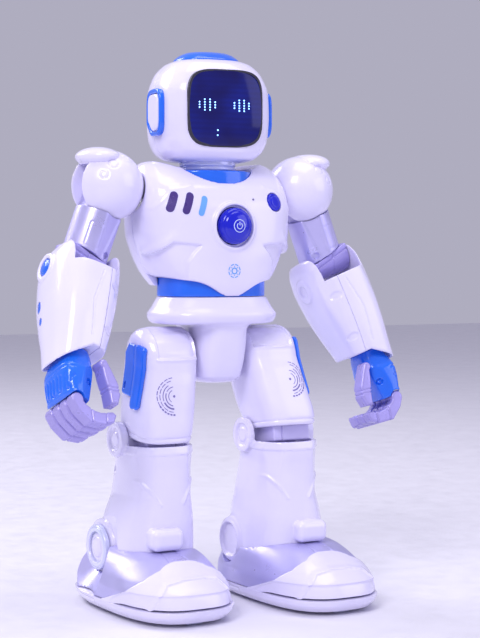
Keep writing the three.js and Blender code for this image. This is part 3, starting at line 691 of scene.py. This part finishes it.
def lens(x, y, z):
    u, v, w = within(LENS_AT, x, y, z)
    d = rod(u, w, -v, 0, 0, 6.6, -5, 1.9, 0.8)
    d = meet(d, ball(u, v, w, 0, 14.6, 0, 17), 0.8)
    return d + 0.5 * bump(np.hypot(u, w) - 4.6, 0.6)


def button(x, y, z):
    u, w = x, z - BUTTON_Z
    d = meet(rod(u, w, -y, 0, 0, 13, 26, 44, 0.6), ball(x, y, z, 0, -20, BUTTON_Z, 22.6), 2.2)
    return d + 0.35 * bump(np.hypot(u, w) - 10.4, 0.7)


def collar(x, y, z):
    return cut(COLLAR(x, y, z), rod(x, y, z, 0, 4, 8.2, 290, 330, 0.4), 0.4)


PELVIS = loft([(201.2, 0, -2, 42, 31, 2.5), (203.5, 0, -2, 45.8, 34.8, 2.5), (208, 0, -2, 47, 36, 2.6),
               (214, 0, -2, 43.8, 33.2, 2.5), (221, 0, -2, 39.8, 30.2, 2.5)], 1, 0.8)
CROTCH = loft([(159, 0, -2, 13, 16, 3), (164, 0, -2, 17.3, 21, 3.2), (182, 0, -2, 19.0, 26.5, 3.4),
               (196, 0, -2, 19.2, 29.5, 3.2), (206, 0, -2, 21, 31, 3)], 3, 1)


def pelvis(x, y, z):
    d = join(CROTCH(x, y, z), meet(PELVIS(x, y, z), 201.4 - z, 0.8), 5)
    for side in (-1, 1):
        d = join(d, rod(y, z, side * x, -2, HIP_Z, 8, 10, 28, 0.6), 1)
    return d


def build_torso():
    box = ((-64, -48, 216), (64, 50, 322))
    build("torso", TORSO_AT, [
        ("chest_cover", chest, box, 1.0, "white_gloss", "chest_shell"),
        ("back_cover", back, box, 1.15, "white_gloss", "back_shell"),
        ("battery_hatch", door, ((-27, 26, 236), (27, 50, 292)), 0.8, "white_gloss", "battery_door"),
        ("collar_dish", collar, ((-29, -28, 294), (29, 30, 312)), 0.8, "blue_gloss", "collar_plate"),
        ("sensor_lens", lens, ((26, -42, 276), (50, -12, 302)), 0.5, "blue_deep", "chest_lens"),
        ("waist_ring", WAIST, ((-44, -36, 218), (44, 33, 240)), 1.0, "blue_gloss", "waist_band"),
        ("pelvis_cover", pelvis, ((-50, -42, 155), (50, 38, 225)), 1.0, "white_gloss", "pelvis_shell"),
    ])
    build("button", TORSO_AT, [
        ("start_button", button, ((-16, -46, 256), (16, -22, 287)), 0.6, "blue_deep", "power_button"),
    ])
    power = [arc(0, BUTTON_Z, 4.4, 0, 360, 0.5, 40), arc(0, BUTTON_Z, 2.1, 125, 415, 0.55, 24),
             stroke((0, BUTTON_Z + 0.6), (0, BUTTON_Z + 2.6), 0.55)]
    printed("button_mark", button, power, "print_pale", "button", TORSO_AT)
    bars = [stroke((-47, 283.5), (-43.4, 293), 5.2), stroke((-36.5, 282), (-32.5, 292.5), 5.2)]
    printed("chest_bars_dark", chest_skin, bars, "print_violet", "torso", TORSO_AT, lift=0.3)
    bar = [stroke((-25.5, 280.5), (-22, 290.5), 4.4)]
    printed("chest_bar_sky", chest_skin, bar, "print_sky", "torso", TORSO_AT)
    eighths = range(0, 360, 45)
    dial = [arc(0, DIAL_Z, 4.6, a + 6, a + 39, 0.7, 5) for a in eighths]
    dial.append(arc(0, DIAL_Z, 2.0, 0, 360, 0.8, 24))
    for a in eighths:
        ends = [(r * math.cos(a * RAD), DIAL_Z + r * math.sin(a * RAD)) for r in (2.9, 3.4)]
        dial.append(stroke(*ends, 0.5, 7))
    printed("dial_mark", chest_skin, dial, "print_sky", "torso", TORSO_AT)


# --- arms (left one; the right one is its mirror) ---


def shoulder_ball(x, y, z):
    wing = ball(x, y, z, 8, 0, 20.2, 14.5, 20, 7.0)
    d = join(ball(x, y, z, 0, 0, 0, 25.5), wing, 2.0)
    d = d + 0.45 * bump(wing, 0.9) * step(25.9 - np.sqrt(x * x + y * y + z * z), 0.5)
    d = cut(d, block(x, y, z, (-15, -8, -60), (60, 8, 15), 0.5), 1.4)
    rims = [np.abs(np.sqrt((x - px) ** 2 + (np.abs(y) - py) ** 2 + (z - pz) ** 2) - radius)
            for px, py, pz, radius in ((5, 20, 15, 3.7), (12.4, 21, 7.3, 2.9))]
    return d + 0.45 * bump(np.minimum(*rims), 0.55)


def sleeve(x, y, z):
    tube = rod(x, y, z, 0, 0, 16.5, -ELBOW_DROP, -10, 0.3)
    tube = meet(tube, -x * 0.42 - y * 0.91 - 15.1, 0.6)
    tube = cut(tube, ball(x, y, z, 0, 0, 0, 26.2), 0.6)
    tube = meet(tube, -52.4 + 0.22 * x - 0.1 * y - z, 0.8)
    panel = np.abs(block(x, y, z, (-1.5, -30, -47), (9, 0, -30), 1))
    tube = tube + 0.22 * bump(panel, 0.5) * step(-y - 8, 2)
    tube = tube - 0.7 * bump(path(x, z, [(-12.9, -22), (-7.9, -52)]), 1.3) * step(-y - 8, 2)
    hole = np.hypot(x + 10, z + 48.6)
    tube = tube + 1.6 * step(2.1 - hole, 0.5) * step(-y - 6, 2)
    disc = rod(x, z, y, 0, 0, 14, -7.6, 7.6, 1.2)
    disc = join(disc, block(x, y, z, (-13, -7.6, -30), (13, 7.6, 0), 1.2), 0.4)
    return join(tube, disc, 1.0)


def elbow_block(x, y, z):
    d = rod(y, z, x, 0, -ELBOW_DROP, 14, -16.4, 16.9, 0.8)
    d = join(d, block(x, y, z, (-16.3, -14, -ELBOW_DROP), (16.8, 14, -30), 1), 0.4)
    d = meet(d, z + 53 - 0.22 * x + 0.1 * y, 0.8)
    d = d + 0.5 * bump(x - 2.5, 0.5) * step(-y - 4, 2)
    return d + 0.6 * bump(z + 57 - 0.22 * x + 0.1 * y, 0.7)


OVALS = ((15, -40.5, 2.7, 4.2), (12.6, -52.5, 1.9, 2.6))  # side plugs: y, z, half width, half height
FOREARM = loft([
    (-90, 0, 0, 17.4, 19.2, 2.9), (-76, 0, 0, 18.7, 21.5, 3), (-56, 0, 1, 21, 26, 3.1),
    (-36, 0, 2, 23, 29, 3.1), (-17, 0, 2, 23.8, 30, 3.1), (-6, 0, 2, 23.2, 28.6, 3),
    (0.5, 0, 2, 21.6, 25.5, 3), (4.5, 0, 2, 19.8, 22, 3)], 1.2, 3)
SKIRT_ROOM = loft([(-110, 0, 0, 15.4, 17.2, 2.9), (-76.2, 0, 0, 16.9, 19.7, 3)], 0.3, 0.3)


def elbow_round(y, z):
    """Distance from the middle of the round cap at the top of the forearm's outer side."""
    return np.hypot(y - 9, z + 11)


def forearm(x, y, z):
    d = FOREARM(x, y, z)
    for sign, out in ((1, 37.5), (-1, 36.5)):
        d = meet(d, (sign * x - y * 0.9 - out) / 1.345, 0.8)
    d = meet(d, (-WRIST_DROP - 0.66 * np.maximum(x + 4, 0) - z) * 0.85, 1.4)
    d = d + 0.4 * bump(path(x, z, [(-3, -20), (2, -44), (-1, -70)]), 0.6) * step(-y - 10, 3)
    d = cut(d, rod(y, z, x, 0, 0, 21.5, -17, 17, 0.5), 1.2)
    d = cut(d, block(x, y, z, (-17, -60, -15.6), (17.5, 8, 40), 0.5), 1.2)
    d = cut(d, SKIRT_ROOM(x, y, z), 0.6)
    cap = elbow_round(y, z)
    d = join(d, slab(np.abs(cap - 8.7) - 2.1, x, 18, 24.4, 1.4), 0.8)
    d = cut(d, slab(cap - 6.6, x, 22, 40, 0.2), 0.4)
    inner = np.hypot(y - 2, z + 17)
    d = d + (1.0 * step(4.5 - inner, 0.8) - 0.9 * step(9.5 - inner, 0.8)) * step(-x - 17, 1)
    for oy, oz, ry, rz in OVALS:
        d = cut(d, slab(rounded(y - oy, z - oz, ry + 0.45, rz + 0.45, 2), x, 17, 40, 0.2), 0.3)
    for sx, sz in ((-14.5, -29), (-14, -62)):
        hole = rounded(x - sx, z - sz, 3.6, 2.5, 2)
        d = d + 0.9 * step(-hole, 0.9) * step(-y - 12, 2)
    return d


def oval_plug(x, y, z):
    plugs = [slab(rounded(y - oy, z - oz, ry, rz, 2), x, 15, 40, 0.2) for oy, oz, ry, rz in OVALS]
    return meet(np.minimum(*plugs), FOREARM(x, y, z) + 0.25, 0.4)


def elbow_cap(x, y, z):
    cap = elbow_round(y, z)
    d = meet(slab(cap - 6.3, x, 20, 25.4, 0.5), ball(x, y, z, 11.4, 9, -11, 14), 1.2)
    return d + 0.3 * bump(cap - 4.6, 0.5)


HAND = loft([(-38.6, -1.2, 0, 8, 17.5, 4), (-30, 0.4, 0, 10.2, 18, 4), (-18, 1.6, 0, 12, 17.6, 3.8),
             (-12, 1.4, 0, 11.8, 15.4, 3.4), (-5, 1, 0, 10.6, 13.8, 3), (-0.4, 1, 0, 9, 12.5, 2.8)], 0.8, 1.5)
KNUCKLE = (1.5, -41, 5)  # x, z and radius, as for the thumb's hinge
THUMB_HINGE = (-13.6, -10.5, 3.7)


def hand(x, y, z):
    d = HAND(x, y, z)
    d = meet(d, (-(x + 1.5) * 0.5 - (y + 17.4)) / 1.118, 0.5)
    d = join(d, rod(x, y, z, 0, 0, 5.6, -6, 6, 0.5), 0.5)
    d = d - 0.9 * bump(z + 36.9, 1.3) * step(x - 2.5, 1.5)
    d = d + 0.5 * bump(z + 20.5 + 0.12 * y, 0.7) * step(x - 6, 2)
    for vent in (11.5, 4, -4.5, -13):
        slot = path(y, z, [(vent - 2, -25), (vent, -32.5)])
        d = d + 0.8 * bump(np.abs(slot - 1.9), 0.6) * step(x - 5, 1.5) * step(-z - 24, 1)
    d = cut(d, block(x, y, z, (-19, -21, -15), (-9.6, -8.6, -6.2), 0.4), 0.4)
    d = cut(d, rod(x, z, y, *THUMB_HINGE[:2], 4.05, -21, -8.6, 0.2), 0.3)
    d = cut(d, rod(x, z, y, *KNUCKLE[:2], 5.35, -30, 30, 0.2), 0.3)
    screw = np.hypot(x + 6.2, z + 25.3)
    return d + (1.6 * step(2.3 - screw, 0.4) - 0.9 * step(1.2 - screw, 0.3)) * step(-y - 10, 2)


def round_end(hinge, start, end, steps=7):
    """Points of a rounded end about a hinge, from one angle to another."""
    u, v, radius = hinge
    angles = [(start + (end - start) * i / (steps - 1)) * RAD for i in range(steps)]
    return [(u + radius * math.cos(a), v + radius * math.sin(a)) for a in angles]


FINGER_LINE = round_end(KNUCKLE, 0, 180) + [
    (-5.5, -42.6), (-12, -44.8), (-17, -44.8), (-26, -41.3), (-29.5, -43), (-28.3, -49), (-21, -53.5),
    (-9, -55.5), (1, -49.5), (6, -43.4)]
THUMB_LINE = round_end(THUMB_HINGE, -70, 120) + [
    (-20, -13), (-26.5, -22), (-29, -29.5), (-28, -37.2), (-21.8, -38.4), (-19.5, -31), (-14.5, -20)]


def fingers(x, y, z):
    d = slab(polygon(x, z, FINGER_LINE) + 1.1, y, -16, 19, 1.8) - 0.7
    across = [-16, -7.6, -6.9, 1.1, 1.9, 9.9, 10.6, 19]
    d = meet(d, -x - np.interp(y, across, [29.9, 29.9, 29.2, 29.2, 27.6, 27.6, 25, 25]), 1.2)
    for gap in (-7.25, 1.5, 10.25):
        d = d + 2.0 * bump(y - gap, 1.0)
    for joint in (((-14, -62), (-8, -40)), ((-24, -60), (-20, -38))):
        d = d + 0.7 * bump(path(x, z, joint), 0.6)
    return d


def thumb(x, y, z):
    d = slab(polygon(x, z, THUMB_LINE) + 1.1, y, -20, -9, 2.4) - 0.7
    for line in (((-34, -24), (-14, -27)), ((-34, -26.5), (-14, -29.5))):
        d = d + 0.45 * bump(path(x, z, line), 0.5)
    return d


def build_arm(side):
    fore, palm = FORE_AT[side], HAND_AT[side]
    shoulder_front = lambda x, y, z: meet(shoulder_ball(x, y, z), y + 0.12, 0.4)
    shoulder_rear = lambda x, y, z: meet(shoulder_ball(x, y, z), 0.12 - y, 0.4)
    outer = lambda x, y, z: meet(forearm(x, y, z), -8.9 - x, 0.5)
    inner = lambda x, y, z: meet(forearm(x, y, z), x + 9.2, 0.5)
    build("shoulder", SHOULDER_AT, [
        ("shoulder_front", shoulder_front, ((-28, -28, -28), (28, 2, 30)), 0.9, "white_gloss",
         "shoulder_front_shell"),
        ("shoulder_rear", shoulder_rear, ((-28, -2, -28), (28, 28, 30)), 0.9, "white_gloss",
         "shoulder_rear_shell"),
    ], side)
    build("upper_arm", ARM_AT, [
        ("arm_sleeve", sleeve, ((-19, -19, -58), (19, 19, 17)), 0.8, "silver_satin", "upper_arm_sleeve"),
        ("elbow_joint", elbow_block, ((-19, -17, -73), (19, 17, -42)), 0.8, "lilac_satin", "elbow_block"),
    ], side)
    build("forearm", fore, [
        ("forearm_outer", outer, ((-11, -32, -94), (28, 36, 8)), 0.85, "white_gloss", "forearm_outer_shell"),
        ("forearm_inner", inner, ((-27, -32, -79), (-7, 36, 8)), 0.85, "white_gloss", "forearm_inner_shell"),
        ("elbow_button", elbow_cap, ((17, 0, -20), (28, 18, -2)), 0.5, "blue_gloss", None),
        ("side_plugs", oval_plug, ((13, 8, -58), (26, 20, -34)), 0.5, "blue_gloss", None),
    ], side)
    for body, name, field, box, size, slot, node in (
        ("hand", "hand_back", hand, ((-15, -21, -42), (17, 21, 8)), 0.7, "blue_gloss", "hand_cover"),
        ("fingers", "finger_set", fingers, ((-33, -19, -59), (10, 22, -33)), 0.6, "lilac_satin", "fingers"),
        ("thumb", "thumb_tip", thumb, ((-32, -23, -41), (-7, -6, -4)), 0.55, "lilac_satin", "thumb"),
    ):
        build(body, palm, [(name, field, box, size, slot, node)], side)


# --- legs, drawn from the floor up ---

THIGH = loft([
    (-52, 5, -10, 20.8, 24.5, 3.2), (-48, 5, -10, 21.6, 25.2, 3.4), (-30, 3, -6, 22, 26.2, 3.5),
    (-12, 1, -2, 21.6, 26, 3.5), (0, 0, 0, 21.5, 25.2, 3.5), (9, 0, 0, 21.5, 23.5, 3.3),
    (16, 0, 0, 21, 19.4, 3.1), (21, 0, 0, 19, 13.9, 2.8), (24.6, 0, 0, 15.5, 5.4, 2.4)], 1.5, 2.5)
GUARD = loft([
    (-52, 5, -10, 24, 27.7, 3.2), (-30, 3, -6, 25.2, 29.4, 3.5), (-12, 1, -2, 24.8, 29.2, 3.5),
    (0, 0, 0, 24.7, 28.4, 3.5), (9, 0, 0, 24.7, 26.7, 3.3), (16, 0, 0, 24.2, 22.6, 3.1)], 1, 1)


def thigh(x, y, z):
    d = THIGH(x, y, z)
    middle = np.abs(x + 2)
    d = d + 1.7 * step(z - 6.5, 0.7) * step(-y - 2, 3) * step(15 - middle, 1)
    d = d - 0.7 * bump(z - 5.4, 1.0) * step(-y - 8, 3) * step(17 - middle, 1)
    d = d + 0.5 * (bump(z + 48.5, 0.8) - 0.8 * step(-z - 49.5, 0.6))
    d = cut(d, rod(y, z, -x, 0, 0, 8.5, 12, 40, 0.3), 0.6)
    d = cut(d, block(x, y, z, (-8.9, -14.2, -80), (18.9, 14.2, -38), 1), 0.6)
    return cut(d, block(x, y, z, (-10.9, -26.9, -80), (20.9, 14.2, -48.2), 0.6), 0.6)


def guard(x, y, z):
    d = meet(GUARD(x, y, z), -THIGH(x, y, z) + 0.3, 0.3)
    lean = y - 0.1 * (z + 8)
    outline = [(-15.4, -27.6), (-10.4, -27.6), (-8.6, -21), (5.4, -21), (5.4, 5), (1, 10.6), (-15.4, 10.6)]
    d = meet(d, polygon(lean, z, outline) - 3, 1.6)
    d = meet(d, 13 - x, 0.6)
    d = d + 0.7 * bump(lean + 7.2, 0.7) + 0.4 * step(lean + 6.8, 0.5) - 0.4 * bump(lean + 11, 2)
    return d + 1.2 * step(-rounded(y - 3, z + 17, 1.1, 2.6, 3), 0.4)


def knee_link(x, y, z):
    d = rod(y, z, x, 0, -THIGH_LENGTH, 12.6, -8, 18, 1)
    d = join(d, block(x, y, z, (-8, -12, -THIGH_LENGTH), (18, 12, -40), 1.5), 0.5)
    d = join(d, block(x, y, z, (-10, -26, -63), (20, 10, -49), 1.0), 0.3)
    return d + 0.9 * bump(x + 3, 0.6) * step(-y - 12, 2)


SHIN = loft([
    (36, 8, 0, 30, 37, 2.7), (48, 7.5, 0, 29.5, 37, 2.7), (62, 6.5, -1, 27.5, 36, 2.8),
    (82, 5, -3, 23.5, 32.5, 2.9), (100, 5, -6, 23, 29.5, 3), (111, 5, -8, 23.7, 28, 3.1),
    (115.6, 5, -8, 22.9, 27.2, 3.1)], 2, 1)
SHIN_ROOM = loft([(60, 6, -2, 23, 31, 2.7), (82, 5, -3, 20.5, 29.5, 2.9), (100, 5, -6, 20.2, 27, 3),
                  (130, 5, -8, 20.4, 25, 3.1)], 2, 1)
ANKLE_Y, ANKLE_Z, FOOT_X = 17, 41, 12
AXLE_Y, AXLE_Z, WHEEL_OUT = 28, 6.5, 19
ROLLER_Y, ROLLER_Z = -79, 5


def ankle_round(y, z):
    """Distance from the ankle's axis."""
    return np.hypot(y - ANKLE_Y, z - ANKLE_Z)


def ankle_bar(x, y, z, radius, low, high, k=0.3):
    """Round bar along the ankle's axis."""
    return rod(y, z, x, ANKLE_Y, ANKLE_Z, radius, low, high, k)


def shin(x, y, z):
    d = SHIN(x, y, z)
    for sign in (1, -1):
        out = np.interp(z, [36, 60, 80, 100, 116], [53, 47.5, 42.6, 42, 42.4])
        d = meet(d, (sign * (x - 5) - y * 0.85 - out) / 1.31, 0.8)
    d = d - 0.8 * step(z - 110.6, 0.6)
    crease = path(np.abs(x - 5), z, [(21, 92), (14, 84), (9, 76)])
    d = d - 0.8 * bump(crease, 1.1) * step(-y - 10, 3)
    room = SHIN_ROOM(x, y, z)
    d = cut(d, join(meet(room, z - 104), meet(room, 112.8 - z)), 0.5)
    d = cut(d, block(x, y, z, (-10.6, -27.2, 107.6), (20.6, 15, 140), 0.4), 0.4)
    for low, high in ((27.3, 33), (-22, -17.8)):
        d = join(d, rod(y, z, x, 0, KNEE_Z, 12.5, low, high, 1.2), 2.0)
    disc = np.hypot(y, z - KNEE_Z)
    for out, dish, boss in ((x - 31, 1.6, 1.0), (-x - 20.3, 1.2, 0.8)):
        d = d + (dish * step(8.2 - disc, 0.9) - boss * step(5.2 - disc, 0.7)) * step(out, 0.5)
    d = cut(d, rod(y, z, x, 0, KNEE_Z, 14, -17.4, 27.0, 0.4), 0.6)
    d = d + 1.1 * step(3.1 - np.hypot(y - 12, (z - 97)), 0.6) * step(x - 10, 2)
    d = join(d, ankle_bar(x, y, z, 16.5, -22, 20, 2.0), 3.0)
    d = d + 1.7 * step(11.5 - ankle_round(y, z), 1.2) * step(-x - 20.5, 0.6)
    d = d - 1.0 * bump(ankle_round(y, z) - 13.2, 1.3) * step(-x - 19.5, 0.6)
    d = cut(d, ankle_bar(x, y, z, 30, 33, 80), 0.3)
    d = join(d, ankle_bar(x, y, z, 20.4, 26, 35, 1.8), 0.6)
    instep = block(x, y, z, (-0.5, -45.5, 44.5), (24.5, -24, 60), 5)
    return join(d, instep, 0.8)


def ankle_cap(x, y, z):
    d = cut(ankle_bar(x, y, z, 16.3, 35.2, 39.6, 1.6), ankle_bar(x, y, z, 11.2, 37, 60, 0.4), 0.8)
    return d + 0.5 * bump(ankle_round(y, z) - 14.6, 0.5) * step(x - 37, 1)


def ankle_face(x, y, z):
    d = meet(ankle_bar(x, y, z, 10.9, 37.2, 44, 0.4), ball(x, y, z, 9, ANKLE_Y, ANKLE_Z, 30.4), 0.8)
    return d + 0.4 * bump(ankle_round(y, z) - 7.5, 0.6)


FOOT = loft([
    (11.4, 12, -18.5, 40.5, 74, 2.9), (20, 12, -17, 40.5, 72.5, 2.8), (28, 12, -14, 38.6, 67, 2.7),
    (36, 11.5, -10, 35.6, 58, 2.5), (42, 11, -6, 31.5, 49, 2.4), (46, 11, -2, 27, 39, 2.3)], 0.25, 6)
SOLE = loft([(2.6, 12, -18.5, 36, 69, 2.9), (7.5, 12, -18.5, 40.2, 73.6, 2.9),
             (11.3, 12, -18.5, 41.4, 75, 2.9)], 1.0, 0.25)


def toe_edge(y, z):
    """Positive in front of the line where the white toe cap begins."""
    return np.interp(z, [6, 12, 16, 22, 30, 36, 42, 50], [-8, -20, -34, -52, -63, -64, -58, -52]) - y


def shin_room(x, y, z):
    """Room in the foot for the shin, its ankle disc and its instep block."""
    skin = cut(SHIN(x, y, z), ankle_bar(x, y, z, 30, 33, 80), 0.3)
    d = join(skin, ankle_bar(x, y, z, 16.6, -60, 60), 0.2)
    d = np.minimum(d, ankle_bar(x, y, z, 20.5, 25, 35.3))
    dish = slab((ankle_round(y, z) - 17.2 - 1.2 * (x - 36)) * 0.64, x, 35.3, 60, 0.3)
    d = join(d, dish, 0.5)
    return np.minimum(d, block(x, y, z, (-0.9, -46, 44), (24.9, -28, 80), 0.5)) - 0.3


def upper_foot(x, y, z):
    d = FOOT(x, y, z) + 0.5
    d = meet(d, toe_edge(y, z) * 0.8 + 0.1, 0.4)
    d = cut(d, shin_room(x, y, z), 0.4)
    ax = np.abs(x - FOOT_X)
    d = d + 0.45 * bump(ax - 6 + (y + 46) * 0.1, 0.6) * step(-y - 40, 2) * step(z - 30, 2)
    for row in (20, 25, 30):
        d = d + 0.9 * step(1.0 - np.abs(z - row), 0.4) * step(y - 30, 2) * step(12 - ax, 1)
    return d


def toe_cap(x, y, z):
    d = FOOT(x, y, z) - 0.8
    d = meet(d, -toe_edge(y, z) * 0.8 + 0.1, 1.2)
    d = cut(d, shin_room(x, y, z), 0.4)
    ax = np.abs(x - FOOT_X)
    line = path(ax, z, [(33, 9), (27, 22), (20, 29), (8, 31.5), (0, 31.5)])
    d = d - 0.9 * bump(line, 1.0) * step(-y - 45, 3)
    under = step(21.5 - z - 0.012 * (y + 60) ** 2 * step(y + 60, 3), 0.9) * step(-y - 40, 12)
    return d + (1.2 + 0.1 * np.maximum(21 - z, 0)) * under


def sole(x, y, z):
    d = SOLE(x, y, z)
    rim = path(y, z, [(-6, 8.6), (46, 8.6)])
    d = d + 0.8 * bump(rim, 1.0) * step(np.abs(x - FOOT_X) - 28, 3)
    for wheel_x in (FOOT_X - WHEEL_OUT, FOOT_X + WHEEL_OUT):
        d = cut(d, rod(y, z, x, AXLE_Y, AXLE_Z, 7.5, wheel_x - 4, wheel_x + 4, 0.3), 0.4)
    d = cut(d, rod(y, z, x, ROLLER_Y, ROLLER_Z, 6, 5.5, 18.5, 0.3), 0.4)
    d = cut(d, block(x, y, z, (-16, 26.1, 4.6), (40, 29.9, 20), 0.3))
    return cut(d, block(x, y, z, (2, -80.9, 3.1), (22, -77.1, 20), 0.3))


def wheel_pair(x, y, z):
    v, w = y - AXLE_Y, z - AXLE_Z
    r, across = np.hypot(v, w), np.abs(np.abs(x - FOOT_X) - WHEEL_OUT)
    d = meet(r - 6.45 + 0.25 * step(np.cos(18 * np.arctan2(w, v)), 0.5), across - 3.4, 0.6)
    d = d + 0.7 * step(3.6 - r, 0.4) * step(across - 2.9, 0.3)
    return join(d, rod(v, w, x, 0, 0, 1.5, FOOT_X - 24, FOOT_X + 24, 0.3), 0.3)


def toe_roller(x, y, z):
    v, w, ax = y - ROLLER_Y, z - ROLLER_Z, np.abs(x - FOOT_X)
    d = meet(np.hypot(v, w) - 4.95, ax - 5.9, 0.8) + 0.4 * bump(ax - 3, 0.5)
    return join(d, rod(v, w, x, 0, 0, 1.5, FOOT_X - 9, FOOT_X + 9, 0.3), 0.3)


def build_leg(side):
    up, down = THIGH_AT[side], SHIN_AT[side]
    build("thigh", up, [
        ("thigh_cover", thigh, ((-26, -42, -56), (30, 30, 28)), 1.0, "white_gloss", "thigh_shell"),
        ("thigh_fender", guard, ((0, -52, -38), (32, 16, 18)), 0.7, "blue_gloss", "thigh_guard"),
        # the knee link takes the lilac plastic made lighter, as painted light against the shade around it
        ("knee_core", knee_link, ((-12, -28, -72), (22, 16, -38)), 0.8, "lilac_painted_light", "knee_link"),
    ], side)
    build("shin", down, [
        ("shin_cover", shin, ((-26, -50, 22), (42, 40, 135)), 1.0, "white_gloss", "shin_shell"),
        ("ankle_cap", ankle_cap, ((33, -1, 23), (42, 35, 59)), 0.5, "pearl_trim", "ankle_disc"),
        ("ankle_face", ankle_face, ((36, 4, 28), (42, 30, 54)), 0.5, "white_gloss", None),
        ("foot_upper", upper_foot, ((-31, -96, 9), (55, 58, 48)), 0.9, "silver_satin", "foot_shell"),
        ("foot_toe", toe_cap, ((-31, -97, 9), (55, 10, 48)), 0.8, "white_gloss", "toe_cap"),
        ("foot_sole", sole, ((-33, -98, 1), (57, 61, 13)), 0.8, "white_gloss", "sole_plate"),
    ], side)
    wheels = ("heel_wheels", wheel_pair, ((-14, 19, -2), (38, 37, 15)), 0.45, "wheel_rubber", "drive_wheels")
    build("drive_wheels", down, [wheels], side)
    roller = ("toe_roller", toe_roller, ((1, -86, -2), (23, -72, 12)), 0.4, "pearl_trim", "front_roller")
    build("front_roller", down, [roller], side)
    center = {"left": 5.2, "right": 3.1}[side], -19
    # radius, first and last angle, width and point count of each printed line; the outer rings are dashed
    lines = [(12.7, a, a + 7, 1.0, 5) for a in range(-92, -34, 11)]
    lines += [(12.7, a, a + 13, 0.45, 8) for a in range(-30, 88, 17)]
    lines += [(10.8, a, a + 19, 0.4, 10) for a in range(-85, 80, 24)]
    lines += [(8.6, -88, -28, 1.0, 18), (8.6, -20, 60, 0.45, 20), (6.5, -80, 20, 0.6, 20),
              (6.5, 30, 84, 0.4, 12), (4.3, -60, 70, 0.4, 16), (0.5, 0, 360, 0.7, 14)]
    strokes = [arc(*center, *line) for line in lines]
    printed(f"thigh_print_{side}", thigh, strokes, "print_grey", f"thigh_{side}", up, SIDES[side])


build_head()
build_torso()
for side_name in SIDES:
    build_arm(side_name)
    build_leg(side_name)

# --- floor, light and camera ---


def build_stage():
    bpy.ops.mesh.primitive_plane_add(size=8, location=(0, 0, 0))
    floor = bpy.context.object
    floor.name = "floor"
    pale = moulded("floor_pale", (0.80, 0.79, 0.86), (0.77, 0.76, 0.83), 0.55, 0, 300)
    floor.data.materials.append(pale)
    world = bpy.data.worlds.new("studio")
    world.use_nodes = True
    fill(world.node_tree.nodes["Background"], {"Color": (0.78, 0.76, 0.95, 1), "Strength": 0.55})
    bpy.context.scene.world = world
    lamps = (
        ("key", (-1.5, -1.2, 1.7), 0.9, 29, (1.0, 0.97, 1.0)),
        ("fill", (1.6, -1.5, 0.9), 1.4, 12, (0.72, 0.70, 1.0)),
        ("rim", (-0.8, 1.5, 1.4), 1.0, 18, (0.95, 0.93, 1.0)),
        ("top", (0.2, -0.2, 2.0), 1.2, 12, (1.0, 0.98, 1.0)),
    )
    for name, where, size, power, color in lamps:
        data = bpy.data.lights.new(name, "AREA")
        data.size, data.energy, data.color = size, power, color
        lamp = bpy.data.objects.new(name, data)
        lamp.location = where
        lamp.rotation_euler = (Vector((0, 0, 0.2)) - Vector(where)).to_track_quat("-Z", "Y").to_euler()
        bpy.context.scene.collection.objects.link(lamp)


def build_camera():
    azimuth, elevation, distance = -30.5 * RAD, 2.1 * RAD, 1.25
    target = Vector((0.0242, 0.0205, 0.204))
    level = math.cos(elevation)
    back_way = Vector((math.sin(azimuth) * level, -math.cos(azimuth) * level, math.sin(elevation)))
    data = bpy.data.cameras.new("camera")
    data.sensor_fit, data.sensor_height, data.lens = "VERTICAL", 36, 95.9
    camera = bpy.data.objects.new("camera", data)
    camera.location = target + back_way * distance
    camera.rotation_euler = (-back_way).to_track_quat("-Z", "Y").to_euler()
    bpy.context.scene.collection.objects.link(camera)
    bpy.context.scene.camera = camera
    bpy.context.scene.view_settings.view_transform = "Standard"


def finish_inner_nodes():
    """The boards, battery, speaker and servo keep their frame shape and take a material."""
    finishes = {"led_board": "circuit_board", "main_board": "circuit_board", "battery_pack": "battery_wrap",
                "speaker": "dark_plastic", "neck_servo": "dark_plastic"}
    for node, finish in finishes.items():
        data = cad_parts[node].data
        data.materials.clear()
        data.materials.append(MATERIALS[finish])


finish_inner_nodes()
build_stage()
build_camera()
